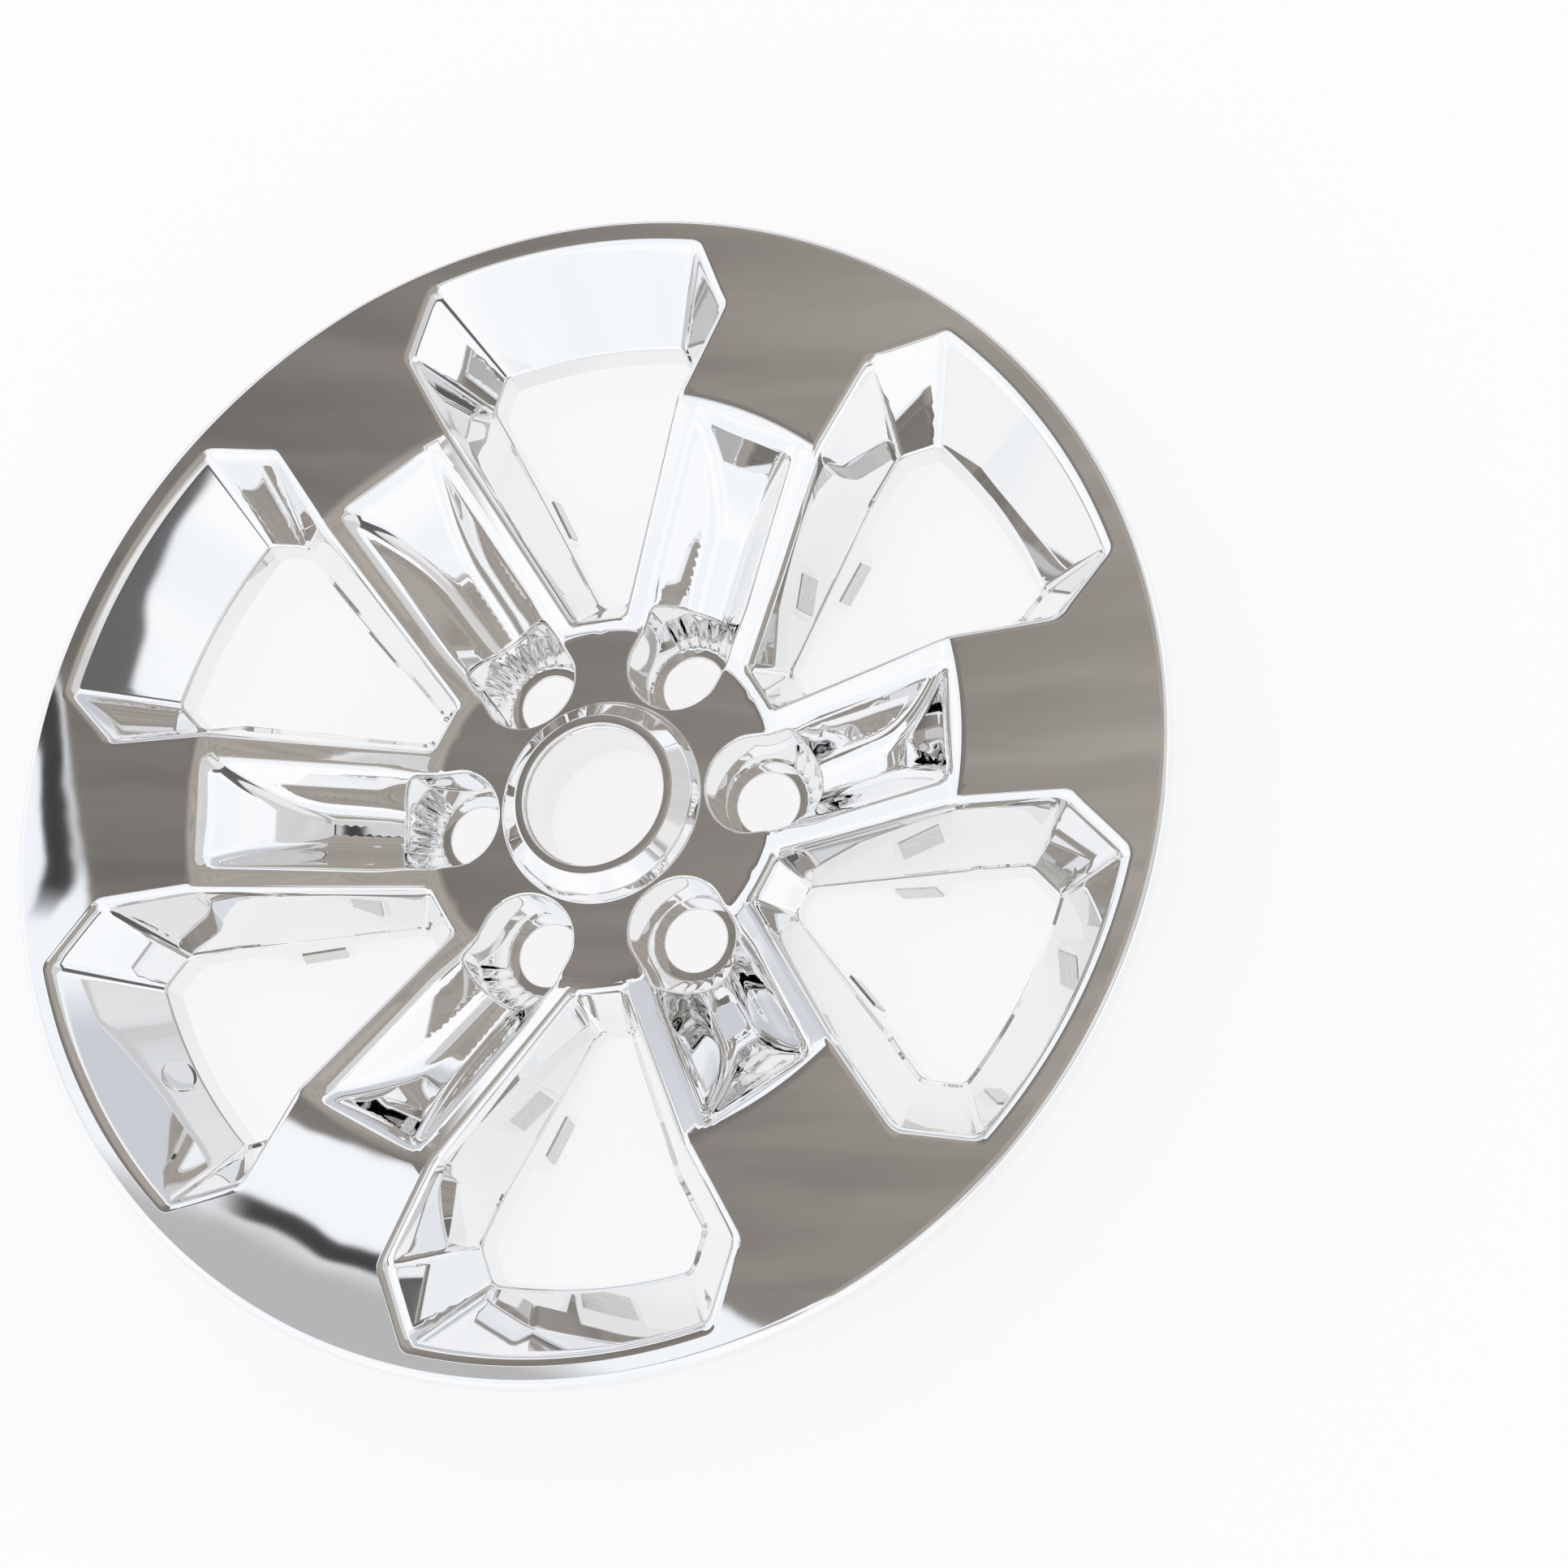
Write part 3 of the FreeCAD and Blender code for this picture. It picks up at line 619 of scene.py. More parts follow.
        def clear(plan, room):
            """Points that stand clear of the window edges and of the well."""
            gap = np.linalg.norm(plan[:, None, :] - edges[None], axis=2).min(axis=1)
            return (gap > room) & ~inside(plan, well) & ~self.in_window(plan, rows[0])

        def broken_path(plan, keep):
            """Paths through the runs of points that are kept."""
            run = []
            for point, kept in zip(plan, keep):
                if kept:
                    run.append(point)
                    continue
                if len(run) > 1:
                    path(run)
                run = []
            if len(run) > 1:
                path(run)

        soft = self.pocket_edge
        for t in EDGE_ROWS:
            row = self.pocket_row(soft * t, soft * 1.35 * t, POCKET_CORNER - soft * t)
            broken_path(row, clear(row, 1.4))
        for middle in (self.crease, self.web_edge):
            for radius in middle + CREASE_ROWS:
                ring = arc_points(radius, max(12, int(radius * STEP / 4)))[1:-1]
                face = self.face_height(np.full(len(ring), radius))
                beside = self.trough(ring[:, 0], ring[:, 1], face) > face + 2.5
                broken_path(ring, clear(ring, 1.8) & beside)

        def fill(step, wanted):
            """Points of a triangular grid where they are wanted, clear of the rows."""
            plan = np.array([(x, y + step / 2 * (i % 2))
                             for i, x in enumerate(np.arange(FILL_START, self.rim, step * ROW_PITCH))
                             for y in np.arange(-FILL_REACH, FILL_REACH, step)])
            radius = np.hypot(plan[:, 0], plan[:, 1])
            angle = np.abs(np.arctan2(plan[:, 1], plan[:, 0]))
            keep = (radius > HUB_EDGE + FILL_MARGIN) & (radius < flat - FILL_MARGIN)
            plan = plan[keep & (angle < half - FILL_MARGIN / radius)]
            face = self.face_height(np.hypot(plan[:, 0], plan[:, 1]))
            in_pocket = self.trough(plan[:, 0], plan[:, 1], face) < face - 1.5
            plan = plan[in_pocket == wanted]
            plan = plan[clear(plan, EDGE_GAP * step)]
            gap = np.array([np.hypot(*(rowed - p).T).min() for p in plan])
            points.extend(map(tuple, plan[gap > ROW_GAP * step]))

        rowed = np.array(points)
        fill(FILL_STEP, False)
        fill(POCKET_STEP, True)
        made = delaunay_2d_cdt([Vector(p) for p in points], links, [], 0, 1e-5)
        plan = np.array([tuple(v) for v in made[0]])
        faces = np.array(made[2])
        middle = plan[faces].mean(axis=1)
        radius = np.hypot(middle[:, 0], middle[:, 1])
        chord = math.cos(half / (HUB_COLUMNS - 1))
        keep = (radius > HUB_EDGE * chord) & (radius < flat) & ~inside(middle, well)
        keep &= np.abs(np.arctan2(middle[:, 1], middle[:, 0])) < half
        keep &= ~self.in_window(middle, wall_foot)
        faces = faces[keep]
        p, q, r = plan[faces[:, 0]], plan[faces[:, 1]], plan[faces[:, 2]]
        area = (q[:, 0] - p[:, 0]) * (r[:, 1] - p[:, 1]) - (q[:, 1] - p[:, 1]) * (r[:, 0] - p[:, 0])
        faces[area < 0] = faces[area < 0][:, ::-1]
        sides = [np.hypot(*(a - b).T) for a, b in ((p, q), (q, r), (r, p))]
        longest = np.maximum.reduce(sides)
        faces = faces[np.abs(area) > SLIVER * longest]
        z = self.height(plan[:, 0], plan[:, 1])
        return np.column_stack([plan, z]), faces, self.normal(plan[:, 0], plan[:, 1])

    def turned_rows(self, profile, count):
        """Rows of a turned profile over one spoke."""
        turns = np.linspace(-STEP / 2, STEP / 2, count)
        return [np.column_stack([r * np.cos(turns), r * np.sin(turns), np.full(count, z)])
                for r, z in profile]

    def rim_profile(self):
        """Round edge of the rim and the lip below it, as radius and height."""
        centre = (self.rim - RIM_ROUND, self.face - RIM_ROUND)
        profile = [(centre[0] + RIM_ROUND * math.cos(t), centre[1] + RIM_ROUND * math.sin(t))
                   for t in np.radians(np.linspace(90, 0, 8))]
        r, z = profile[-1]
        for t in SKIRT_ROWS[1:]:
            profile.append((r + (RIM_FOOT[0] - r) * t, z + (RIM_FOOT[1] - z) * t))
        return profile

    def sector(self):
        """Front surface over one spoke: vertices, faces and normals."""
        sheet, faces, normals = self.front_sheet()
        verts = [sheet]
        polygons = [tuple(f) for f in faces]
        exact = [normals]
        count = len(sheet)

        def grid(rows, closed=False, flip=False):
            """Rows of points joined by quads, whose normals are left to their faces."""
            nonlocal count
            quads = row_quads(len(rows), len(rows[0]), closed) + count
            polygons.extend(map(tuple, quads[:, ::-1] if flip else quads))
            verts.extend(rows)
            size = len(rows) * len(rows[0])
            exact.append(np.full((size, 3), np.nan))
            count += size

        grid(self.well_rows(), closed=True)
        grid(self.turned_rows(HUB_PROFILE, HUB_COLUMNS))
        grid(self.turned_rows(self.rim_profile(), RIM_COLUMNS), flip=True)
        wall_foot = self.depth_loop(WALL_DEPTH, 0.0)
        for sign in (1, -1):
            plan = turned(wall_foot * [1, -sign], sign * STEP / 2)
            first = np.column_stack([wall_foot, self.height(plan[:, 0], plan[:, 1])])
            skirt = [first] + self.skirt_rows()
            for rows in (skirt, self.tab_rows(skirt[-1])):
                placed = [turned(row * [1, -sign, 1], sign * STEP / 2) for row in rows]
                grid(placed, flip=sign < 0)
        return np.vstack(verts), polygons, np.vstack(exact)


# From plan geometry to meshes

def row_quads(rows, width, closed):
    """Corners of the quads between rows of points, row by row."""
    quads = []
    for i in range(rows - 1):
        for j in range(width if closed else width - 1):
            k = (j + 1) % width
            quads.append((i * width + j, i * width + k, (i + 1) * width + k, (i + 1) * width + j))
    return np.array(quads)


def face_normals(verts, faces):
    """Area vectors of triangles or quads."""
    faces = np.asarray(faces)
    a = verts[faces[:, 2]] - verts[faces[:, 0]]
    b = verts[faces[:, -1]] - verts[faces[:, 1]]
    if faces.shape[1] == 3:
        a = verts[faces[:, 1]] - verts[faces[:, 0]]
        b = verts[faces[:, 2]] - verts[faces[:, 0]]
    return np.cross(a, b)


def vertex_normals(verts, groups):
    """Vertex normals weighted by the area of the faces round each vertex."""
    total = np.zeros_like(verts)
    for faces in groups:
        if len(faces):
            area = face_normals(verts, faces)
            for column in range(faces.shape[1]):
                np.add.at(total, faces[:, column], area)
    length = np.linalg.norm(total, axis=1, keepdims=True)
    return total / np.maximum(length, 1e-12)


def welded(verts, room):
    """For each vertex, the first vertex at the same place."""
    tree = KDTree(len(verts))
    for i, co in enumerate(verts):
        tree.insert(co, i)
    tree.balance()
    target = np.arange(len(verts))
    for i, co in enumerate(verts):
        if target[i] == i:
            for _, j, _ in tree.find_range(co, room):
                if j > i:
                    target[j] = i
    return target


def by_size(polygons):
    """Polygons as one array of triangles and one of quads, without repeated corners."""
    found = {3: [], 4: []}
    for polygon in polygons:
        corners = [v for i, v in enumerate(polygon) if v != polygon[i - 1]]
        if len(corners) > 2 and len(set(corners)) == len(corners):
            found[len(corners)].append(corners)
    return [np.array(found[n], int).reshape(-1, n) for n in (3, 4)]


def repeat_tree():
    """Geometry Nodes tree that sets copies of a sector round the axle."""
    tree = bpy.data.node_groups.new("Repeat round the axle", "GeometryNodeTree")
    interface = tree.interface
    interface.new_socket("Geometry", in_out="INPUT", socket_type="NodeSocketGeometry")
    count = interface.new_socket("Spokes", in_out="INPUT", socket_type="NodeSocketInt")
    count.default_value = SPOKES
    interface.new_socket("Finish", in_out="INPUT", socket_type="NodeSocketMaterial")
    interface.new_socket("Geometry", in_out="OUTPUT", socket_type="NodeSocketGeometry")
    nodes, link = tree.nodes, tree.links.new
    given = nodes.new("NodeGroupInput")
    result = nodes.new("NodeGroupOutput")
    points = nodes.new("GeometryNodePoints")
    index = nodes.new("GeometryNodeInputIndex")
    step = nodes.new("ShaderNodeMath")
    step.operation = "DIVIDE"
    step.inputs[0].default_value = 2 * math.pi
    angle = nodes.new("ShaderNodeMath")
    angle.operation = "MULTIPLY"
    spin = nodes.new("FunctionNodeAxisAngleToRotation")
    spin.inputs["Axis"].default_value = (0, 0, 1)
    copies = nodes.new("GeometryNodeInstanceOnPoints")
    real = nodes.new("GeometryNodeRealizeInstances")
    finish = nodes.new("GeometryNodeSetMaterial")
    link(given.outputs["Spokes"], points.inputs["Count"])
    link(given.outputs["Spokes"], step.inputs[1])
    link(index.outputs[0], angle.inputs[0])
    link(step.outputs[0], angle.inputs[1])
    link(angle.outputs[0], spin.inputs["Angle"])
    link(points.outputs[0], copies.inputs["Points"])
    link(given.outputs["Geometry"], copies.inputs["Instance"])
    link(spin.outputs[0], copies.inputs["Rotation"])
    link(copies.outputs[0], real.inputs[0])
    link(real.outputs[0], finish.inputs["Geometry"])
    link(given.outputs["Finish"], finish.inputs["Material"])
    link(finish.outputs[0], result.inputs[0])
    return tree


def socket_id(tree, name):
    """Identifier of a named input of a node tree."""
    for item in tree.interface.items_tree:
        if item.in_out == "INPUT" and item.name == name:
            return item.identifier
    raise KeyError(name)


def repeated(verts, polygons, material):
    """Vertices and polygons of the sector set round the axle by Geometry Nodes."""
    mesh = bpy.data.meshes.new("cover_sector")
    mesh.from_pydata((verts * MM).tolist(), [], [[int(v) for v in p] for p in polygons])
    sector = bpy.data.objects.new("cover_sector", mesh)
    bpy.context.scene.collection.objects.link(sector)
    tree = repeat_tree()
    modifier = sector.modifiers.new("Spokes", "NODES")
    modifier.node_group = tree
    modifier[socket_id(tree, "Spokes")] = SPOKES
    modifier[socket_id(tree, "Finish")] = material
    depsgraph = bpy.context.evaluated_depsgraph_get()
    ring = bpy.data.meshes.new_from_object(sector.evaluated_get(depsgraph))
    co = np.zeros(len(ring.vertices) * 3)
    ring.vertices.foreach_get("co", co)
    faces = [tuple(p.vertices) for p in ring.polygons]
    bpy.data.objects.remove(sector)
    bpy.data.meshes.remove(mesh)
    bpy.data.meshes.remove(ring)
    if len(co) != SPOKES * verts.size:
        raise RuntimeError("the sector was not repeated once for each spoke")
    return co.reshape(-1, 3) / MM, faces


def relaxed(front, back, groups, rounds=12):
    """Back surface with the vertices of folded faces drawn in among their neighbours."""
    edges = np.vstack([np.column_stack([g[:, i], g[:, (i + 1) % g.shape[1]]])
                       for g in groups for i in range(g.shape[1])])
    edges = np.vstack([edges, edges[:, ::-1]])
    for _ in range(rounds):
        bad = np.zeros(len(back), bool)
        for g in groups:
            if len(g):
                n = face_normals(front, g)
                m = face_normals(back, g)
                size = np.linalg.norm(n, axis=1) * np.linalg.norm(m, axis=1)
                folded = (n * m).sum(axis=1) < FOLDED * size
                bad[g[folded].ravel()] = True
        if not bad.any():
            break
        total = np.zeros_like(back)
        count = np.zeros(len(back))
        np.add.at(total, edges[:, 0], back[edges[:, 1]])
        np.add.at(count, edges[:, 0], 1)
        back = np.where(bad[:, None], total / np.maximum(count, 1)[:, None], back)
    return back


def boss_rows(skin):
    """Round boss low on one window's outer wall, as rows about its own axis."""
    out = unit([-1.0, 0.0, ARC_DRAFT])
    across = np.array([0.0, 1.0, 0.0])
    other = np.cross(out, across)
    centre = np.array([skin.arc - ARC_DRAFT * BOSS_DEPTH, 0.0, skin.face - BOSS_DEPTH])
    profile = [(BOSS_RADIUS, -1.2), (BOSS_RADIUS, 0.0), (BOSS_RADIUS - 0.05, 0.6),
               (BOSS_RADIUS - 0.35, 1.0), (BOSS_RADIUS - 0.9, BOSS_HEIGHT),
               (BOSS_RADIUS * 0.45, BOSS_HEIGHT)]
    turns = np.linspace(0, 2 * math.pi, BOSS_COLUMNS, endpoint=False)
    rows = []
    for radius, height in profile:
        ring = (centre + out * height + radius * np.cos(turns)[:, None] * across
                + radius * np.sin(turns)[:, None] * other)
        rows.append(turned(ring, math.radians(BOSS_TURN)))
    return rows


def front_ring(skin, material):
    """Front surface all round: vertices, triangles and quads, and normals."""
    verts, polygons, exact = skin.sector()
    co, faces = repeated(verts, polygons, material)
    normals = np.vstack([turned(exact, i * STEP) for i in range(SPOKES)])
    target = welded(co, WELD)
    known = ~np.isnan(normals[:, 0])
    merged = np.full_like(normals, np.nan)
    merged[target[known]] = normals[known]
    groups = by_size([tuple(target[list(p)]) for p in faces])
    used = np.unique(np.concatenate([g.ravel() for g in groups]))
    place = np.zeros(len(co), int)
    place[used] = np.arange(len(used))
    groups = [place[g] for g in groups]
    front = co[used]
    given = merged[used]
    return front, groups, np.where(np.isnan(given), vertex_normals(front, groups), given)


def open_edges(groups):
    """Edges that only one polygon has."""
    edges = {}
    for g in groups:
        for i in range(g.shape[1]):
            for a, b in zip(g[:, i], g[:, (i + 1) % g.shape[1]]):
                edges[(a, b)] = True
    return [(a, b) for a, b in edges if (b, a) not in edges]


def skin_mesh(skin, material):
    """Closed mesh of the whole moulding with exact normals."""
    front, groups, normal = front_ring(skin, material)
    back = relaxed(front, front - normal * skin.wall, groups)
    rows = boss_rows(skin)
    boss = np.vstack(rows)
    everything = np.vstack([front, back, boss])
    count = len(front)
    polygons = []
    corners = []

    def add(faces, normals):
        polygons.extend(map(tuple, faces))
        corners.append(normals)

    for g in groups:
        add(g, normal[g.ravel()])
    for g in groups:
        add((g + count)[:, ::-1], -normal[g[:, ::-1].ravel()])
    lips = np.array([(b, a, a + count, b + count) for a, b in open_edges(groups)])
    lip_normal = face_normals(everything, lips)
    lip_normal /= np.maximum(np.linalg.norm(lip_normal, axis=1, keepdims=True), 1e-12)
    add(lips, np.repeat(lip_normal, 4, axis=0))
    start = 2 * count
    quads = row_quads(len(rows), BOSS_COLUMNS, closed=True)
    add(quads + start, vertex_normals(boss, [quads])[quads.ravel()])
    out = turned(unit([-1.0, 0.0, ARC_DRAFT]), math.radians(BOSS_TURN))
    ring = np.arange(BOSS_COLUMNS)
    for cap, facing in ((ring[::-1], -out), (ring + len(boss) - BOSS_COLUMNS, out)):
        add([cap + start], np.tile(facing, (BOSS_COLUMNS, 1)))
    mesh = bpy.data.meshes.new("chrome_skin")
    mesh.from_pydata((everything * MM).tolist(), [], [[int(v) for v in p] for p in polygons])
    mesh.polygons.foreach_set("use_smooth", [True] * len(mesh.polygons))
    mesh.materials.append(material)
    mesh.normals_split_custom_set(np.vstack(corners).tolist())
    mesh.update()
    return mesh


# Finishes

def node(tree, kind, inputs=None, **values):
    """New node with its settings and its constant inputs."""
    made = tree.nodes.new(kind)
    for name, value in values.items():
        setattr(made, name, value)
    for name, value in (inputs or {}).items():
        made.inputs[name].default_value = value
    return made


def noise(tree, place, scale, detail, distortion=0.0):
    """Noise over the given coordinates."""
    made = node(tree, "ShaderNodeTexNoise",
                {"Scale": scale, "Detail": detail, "Distortion": distortion})
    tree.links.new(place, made.inputs["Vector"])
    return made.outputs["Fac"]


def metal(name):
    """New material of bare metal with its node tree and its shader."""
    material = bpy.data.materials.new(name)
    material.use_nodes = True
    shader = material.node_tree.nodes["Principled BSDF"]
    shader.inputs["Metallic"].default_value = 1.0
    return material, material.node_tree, shader


def chrome_material(finish):
    """Bright plated plastic with the faint ripple of a moulding."""
    material, tree, shader = metal("bright_chrome")
    shader.inputs["Base Color"].default_value = (*finish.chrome, 1)
    place = node(tree, "ShaderNodeTexCoord").outputs["Object"]
    haze = node(tree, "ShaderNodeMapRange", {"To Min": finish.chrome_roughness * 0.6,
                                             "To Max": finish.chrome_roughness * 1.4})
    ripple = node(tree, "ShaderNodeBump", {"Strength": 0.06, "Distance": 0.001})
    link = tree.links.new
    link(noise(tree, place, 18.0, 3.0), haze.inputs["Value"])
    link(haze.outputs["Result"], shader.inputs["Roughness"])
    link(noise(tree, place, 22.0, 1.0), ripple.inputs["Height"])
    link(ripple.outputs["Normal"], shader.inputs["Normal"])
    return material


def steel_material(finish):
    """Rolled spring steel with fine streaks along the strip."""
    material, tree, shader = metal("rolled_spring_steel")
    place = node(tree, "ShaderNodeTexCoord")
    stretch = node(tree, "ShaderNodeMapping", {"Scale": (90.0, 90.0, 1400.0)})
    streaks = noise(tree, stretch.outputs["Vector"], 1.0, 4.0)
    shade = node(tree, "ShaderNodeValToRGB")
    shade.color_ramp.elements[0].color = (*[c * 0.8 for c in finish.steel], 1)
    shade.color_ramp.elements[1].color = (*[min(1.0, c * 1.15) for c in finish.steel], 1)
    rough = node(tree, "ShaderNodeMapRange", {"To Min": 0.15, "To Max": 0.3})
    link = tree.links.new
    link(place.outputs["Object"], stretch.inputs["Vector"])
    link(streaks, shade.inputs["Fac"])
    link(shade.outputs["Color"], shader.inputs["Base Color"])
    link(streaks, rough.inputs["Value"])
    link(rough.outputs["Result"], shader.inputs["Roughness"])
    return material


def floor_material(stage):
    """Pale floor that shows as white and keeps a faint shadow."""
    material = bpy.data.materials.new("pale_floor")
    material.use_nodes = True
    tree = material.node_tree
    tree.nodes.remove(tree.nodes["Principled BSDF"])
    shader = node(tree, "ShaderNodeBsdfDiffuse", {"Color": (*stage.floor, 1)})
    path = node(tree, "ShaderNodeLightPath")
    glow = node(tree, "ShaderNodeEmission", {"Strength": 1.0})
    seen = node(tree, "ShaderNodeMath", operation="MAXIMUM")
    either = node(tree, "ShaderNodeMath", operation="MAXIMUM")
    part = node(tree, "ShaderNodeMath", operation="MULTIPLY")
    part.inputs[1].default_value = 0.8
    mix = node(tree, "ShaderNodeMixShader")
    link = tree.links.new
    link(path.outputs["Is Camera Ray"], seen.inputs[0])
    link(path.outputs["Is Glossy Ray"], seen.inputs[1])
    link(seen.outputs[0], either.inputs[0])
    link(path.outputs["Is Transmission Ray"], either.inputs[1])
    link(either.outputs[0], part.inputs[0])
    link(part.outputs[0], mix.inputs["Fac"])
    link(shader.outputs[0], mix.inputs[1])
    link(glow.outputs[0], mix.inputs[2])
    link(mix.outputs[0], tree.nodes["Material Output"].inputs["Surface"])
    return material


def studio_world(stage):
    """White studio with a dim ceiling on one side, laid out by direction."""
    world = bpy.data.worlds.new("white_studio")
    world.use_nodes = True
    tree = world.node_tree
    link = tree.links.new

    def value(socket, given):
        """Sets an input to a number or links it to a node."""
        if isinstance(given, (int, float)):
            socket.default_value = given
        else:
            link(given, socket)

    def math_node(operation, *given):
        """Result of a sum on numbers or nodes."""
        made = node(tree, "ShaderNodeMath", operation=operation)
        for socket, number in zip(made.inputs, given):
            value(socket, number)
        return made.outputs[0]

    def ease(given, low, high, first=0.0, last=1.0):
        """Smooth step from first to last while the given value goes from low to high."""
        limits = {"From Min": low, "From Max": high, "To Min": first, "To Max": last}
        made = node(tree, "ShaderNodeMapRange", limits, interpolation_type="SMOOTHSTEP")
        value(made.inputs["Value"], given)
        return made.outputs["Result"]

    def line(point, facing):
        """Distance of the direction from a line in plan, on the side it faces."""
        east = math_node("MULTIPLY", math_node("SUBTRACT", x, point[0]), facing[0])
        north = math_node("MULTIPLY", math_node("SUBTRACT", y, point[1]), facing[1])
        return math_node("ADD", east, north)

    def tint(share, below, above):
        """Mix of two colours, each fixed or from a node."""
        made = node(tree, "ShaderNodeMix", data_type="RGBA")
        value(made.inputs["Factor"], share)
        for socket, given in ((made.inputs[6], below), (made.inputs[7], above)):
            if isinstance(given, tuple):
                socket.default_value = (*given, 1)
            else:
                link(given, socket)
        return made.outputs[2]

    place = node(tree, "ShaderNodeTexCoord").outputs["Generated"]
    parts = node(tree, "ShaderNodeSeparateXYZ")
    link(place, parts.inputs[0])
    x, y, z = parts.outputs

    # Distance inside the edge of the ceiling, which wanders a little
    edge = math_node("MAXIMUM", line(*CEILING_NORTH), line(*CEILING_CORNER))
    for side in (CEILING_WEST, CEILING_EAST, CEILING_SOUTH):
        edge = math_node("MINIMUM", edge, line(*side))
    rough = math_node("SUBTRACT", noise(tree, place, 26.0, 3.0), 0.5)
    edge = math_node("ADD", edge, math_node("MULTIPLY", rough, EDGE_WANDER))

    # Dim ceiling with a grain, and its half-lit part to the east
    above = ease(z, 0.4, 0.43)
    ceiling = math_node("MULTIPLY", ease(edge, 0.0, 0.003), above)
    east = math_node("MULTIPLY", ease(x, 0.485, 0.495, 0.0, 0.5), ease(y, -0.2, -0.1, 0.5, 1.0))
    ceiling = math_node("MAXIMUM", ceiling, math_node("MULTIPLY", east, above))
    grain_place = node(tree, "ShaderNodeMapping",
                       {"Rotation": (0, 0, math.radians(-12)), "Scale": (5.0, 55.0, 5.0)})
    link(place, grain_place.inputs["Vector"])
    grain = noise(tree, grain_place.outputs["Vector"], 1.0, 4.0, distortion=0.4)
    level = math_node("MULTIPLY", ease(x, -0.5, 0.0, 0.68, 1.42), ease(grain, 0.3, 0.7, 0.86, 1.14))
    shade = node(tree, "ShaderNodeVectorMath", {0: stage.ceiling}, operation="SCALE")
    link(level, shade.inputs["Scale"])

    # Dark line along parts of the ceiling's edge, and a dark lintel low in the east
    middle = ease(y, 0.24, 0.30, -0.032, -0.004)
    away = math_node("ABSOLUTE", math_node("SUBTRACT", edge, middle))
    band = math_node("MULTIPLY", ease(away, 0.003, 0.0055, 1.0, 0.0), ease(z, 0.3, 0.5))
    west = math_node("MULTIPLY", ease(x, -0.475, -0.455), ease(x, -0.41, -0.39, 1.0, 0.0))
    band = math_node("MULTIPLY", band, math_node("MAXIMUM", ease(y, 0.275, 0.29), west))
    lintel = math_node("SUBTRACT", z, ease(y, -0.65, 0.42, 0.403, 0.305))
    lintel = math_node("MULTIPLY", ease(lintel, -0.002, 0.002), ease(lintel, 0.07, 0.08, 1.0, 0.0))
    lintel = math_node("MULTIPLY", lintel, ease(x, 0.5, 0.55))
    lintel = math_node("MULTIPLY", lintel, ease(y, 0.12, 0.2, 0.9, 0.0))
    band = math_node("MAXIMUM", band, lintel)

    # Grey zone outside the ceiling, cloudy white beyond it and a cool zone low in the north
    dusk = math_node("MULTIPLY", ease(edge, -0.11, -0.06), ease(edge, -0.045, -0.03, 1.0, 0.0))
    dusk = math_node("MULTIPLY", dusk, ease(y, 0.2, 0.28, 1.0, 0.0))
    colour = tint(ease(noise(tree, place, 2.6, 1.5), 0.4, 0.62), COOL_WHITE, WARM_WHITE)
    north = math_node("MULTIPLY", ease(y, 0.6, 0.75), ease(z, 0.2, 0.35, 1.0, 0.0))
    for share, paint in ((north, NORTH_COLOUR), (dusk, DUSK_COLOUR), (ceiling, shade.outputs[0]),
                         (band, BAND_COLOUR)):
        colour = tint(share, colour, paint)

    # Only what is mirrored sees the layout, and the rest is lit by plain white
    plain = tree.nodes["Background"]
    plain.inputs["Color"].default_value = (1, 1, 1, 1)
    mirrored = node(tree, "ShaderNodeBackground")
    link(colour, mirrored.inputs["Color"])
    path = node(tree, "ShaderNodeLightPath")
    mix = node(tree, "ShaderNodeMixShader")
    link(path.outputs["Is Glossy Ray"], mix.inputs["Fac"])
    link(plain.outputs[0], mix.inputs[1])
    link(mirrored.outputs[0], mix.inputs[2])
    link(mix.outputs[0], tree.nodes["World Output"].inputs["Surface"])
    return world


# Operators

class COVER_OT_skin(bpy.types.Operator):
    """Builds the chrome skin in place of its plain solid"""
    bl_idname = "cover.skin"
    bl_label = "Chrome skin"

    def execute(self, context):
        skin = Skin(context.scene.cover_sizes)
        mesh = skin_mesh(skin, chrome_material(context.scene.cover_finish))
        piece = bpy.data.objects.new("chrome_skin", mesh)
        context.scene.collection.objects.link(piece)
        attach(piece, "root")
        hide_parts("cover_shell")
        return {"FINISHED"}


class COVER_OT_clips(bpy.types.Operator):
    """Gives the steel clips their finish"""
    bl_idname = "cover.clips"
    bl_label = "Clip finish"

    def execute(self, context):
        steel = steel_material(context.scene.cover_finish)
        clips = [o for name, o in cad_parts.items() if name.startswith("retention_clip")]
        if not clips:
            raise RuntimeError("the frame holds no clips")
        for clip in clips:
            clip.data.materials.clear()
            clip.data.materials.append(steel)
        return {"FINISHED"}


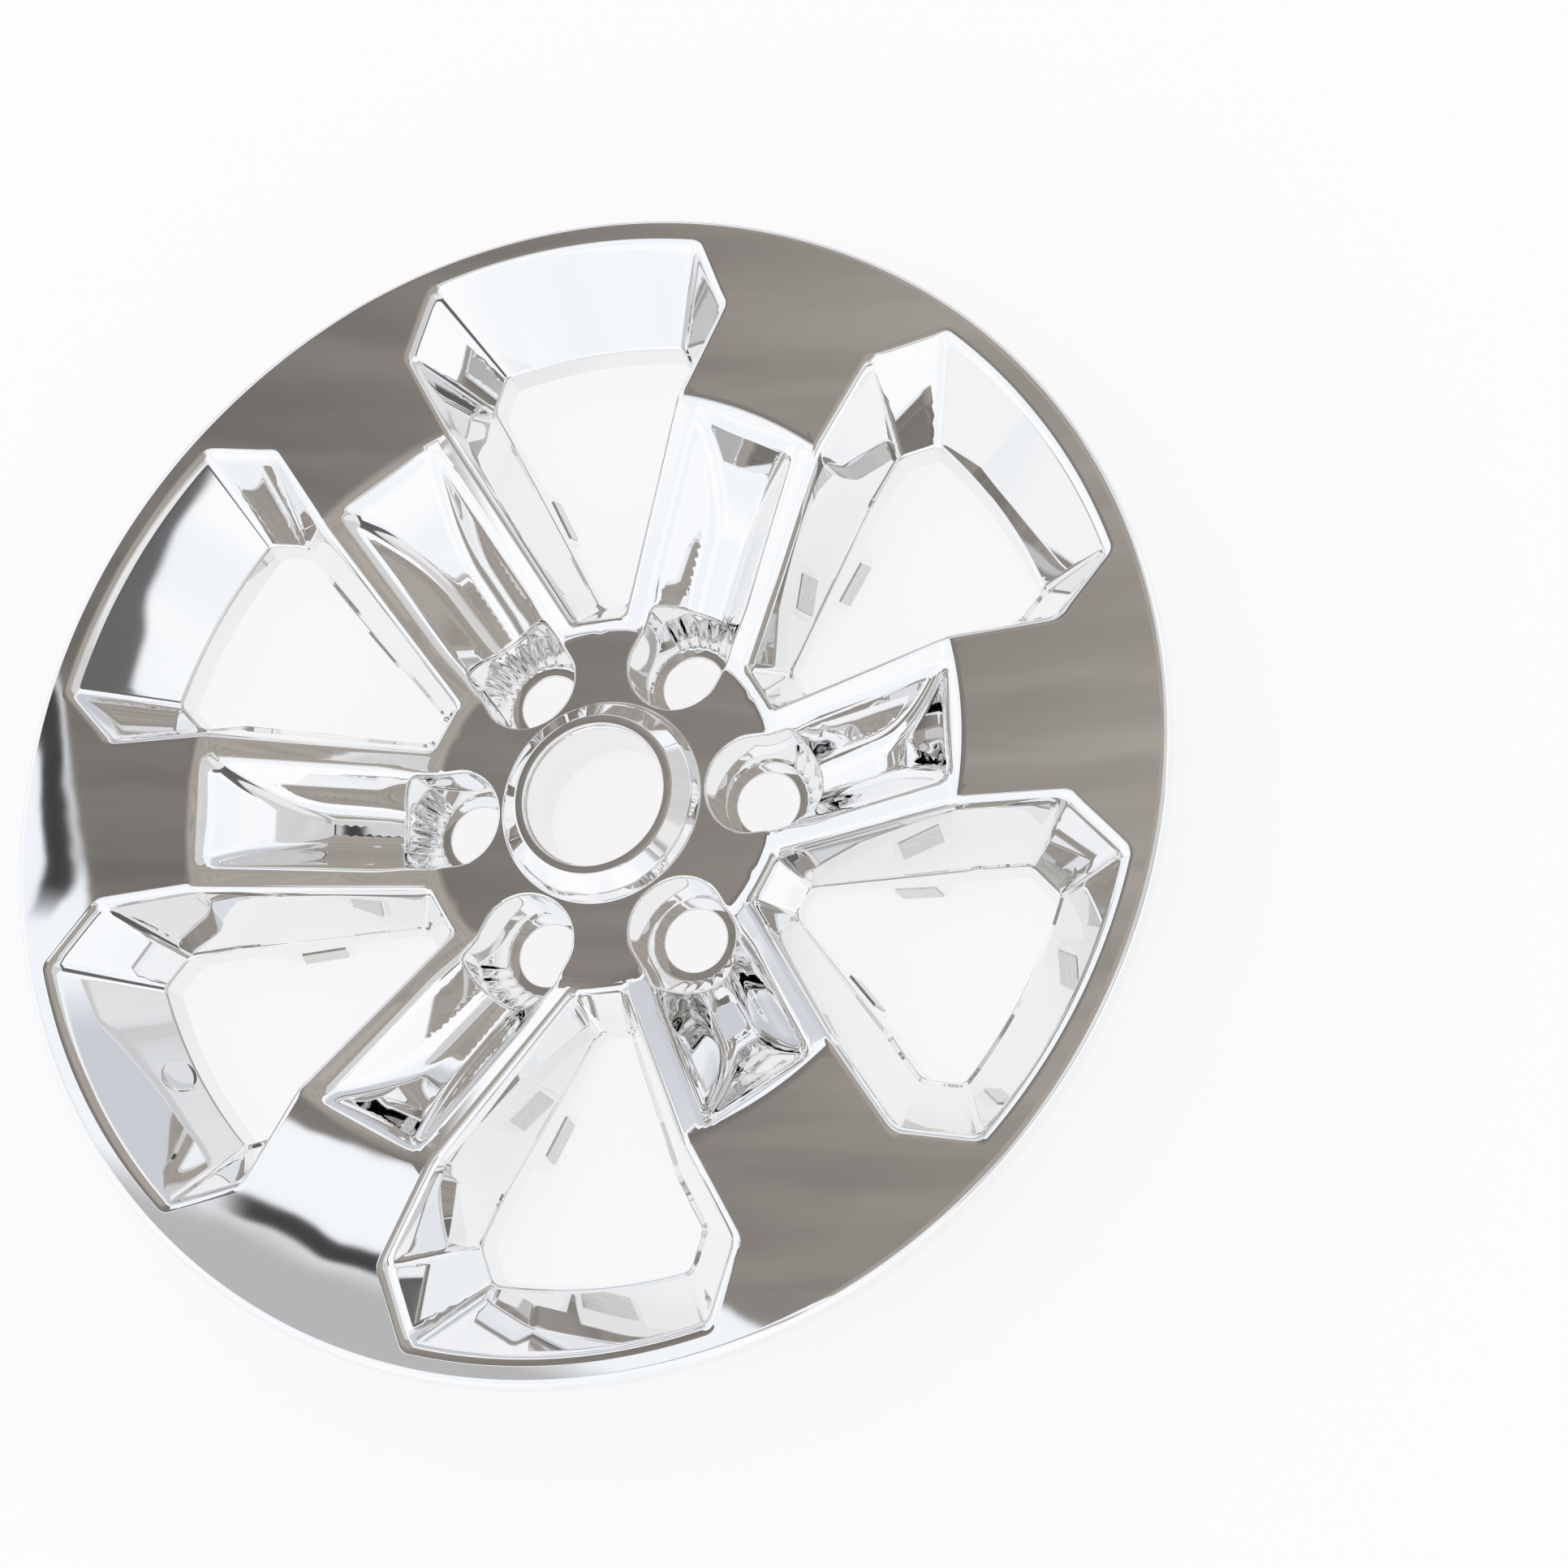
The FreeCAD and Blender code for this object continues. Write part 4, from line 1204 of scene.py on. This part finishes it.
class COVER_OT_stage(bpy.types.Operator):
    """Lays the floor and sets the light and the camera"""
    bl_idname = "cover.stage"
    bl_label = "Stage"

    def execute(self, context):
        scene = context.scene
        mesh = bpy.data.meshes.new("floor")
        corners = [(-1, -1), (1, -1), (1, 1), (-1, 1)]
        mesh.from_pydata([(x * FLOOR_REACH, y * FLOOR_REACH, 0) for x, y in corners],
                         [], [(0, 1, 2, 3)])
        floor = bpy.data.objects.new("floor", mesh)
        mesh.materials.append(floor_material(scene.cover_stage))
        scene.collection.objects.link(floor)
        scene.world = studio_world(scene.cover_stage)
        lens = bpy.data.cameras.new("camera")
        lens.sensor_width = 36.0
        lens.lens = CAMERA_LENS
        lens.clip_start = 0.05
        lens.clip_end = 50.0
        camera = bpy.data.objects.new("camera", lens)
        right = Vector(CAMERA_RIGHT).normalized()
        back = Vector(CAMERA_BACK).normalized()
        up = back.cross(right).normalized()
        right = up.cross(back)
        turn = Matrix((right, up, back)).transposed()
        camera.matrix_world = Matrix.Translation(CAMERA_PLACE) @ turn.to_4x4()
        scene.collection.objects.link(camera)
        scene.camera = camera
        scene.view_settings.view_transform = "Standard"
        return {"FINISHED"}


class COVER_PT_panel(bpy.types.Panel):
    """Sizes, finishes and build steps of the wheel cover"""
    bl_idname = "COVER_PT_panel"
    bl_label = "Wheel Cover"
    bl_space_type = "VIEW_3D"
    bl_region_type = "UI"
    bl_category = "Wheel Cover"

    def draw(self, context):
        layout = self.layout
        scene = context.scene
        for group in (scene.cover_sizes, scene.cover_finish, scene.cover_stage):
            box = layout.box()
            for name in group.bl_rna.properties.keys():
                if name not in ("rna_type", "name"):
                    box.prop(group, name)
        for operator in (COVER_OT_skin, COVER_OT_clips, COVER_OT_stage):
            layout.operator(operator.bl_idname)


CLASSES = (CoverSizes, CoverFinish, CoverStage, COVER_OT_skin, COVER_OT_clips, COVER_OT_stage,
           COVER_PT_panel)


def register():
    for cls in CLASSES:
        bpy.utils.register_class(cls)
    bpy.types.Scene.cover_sizes = bpy.props.PointerProperty(type=CoverSizes)
    bpy.types.Scene.cover_finish = bpy.props.PointerProperty(type=CoverFinish)
    bpy.types.Scene.cover_stage = bpy.props.PointerProperty(type=CoverStage)


def unregister():
    del bpy.types.Scene.cover_stage
    del bpy.types.Scene.cover_finish
    del bpy.types.Scene.cover_sizes
    for cls in reversed(CLASSES):
        bpy.utils.unregister_class(cls)


def main():
    register()
    bpy.ops.cover.skin()
    bpy.ops.cover.clips()
    bpy.ops.cover.stage()


if __name__ == "__main__":
    main()
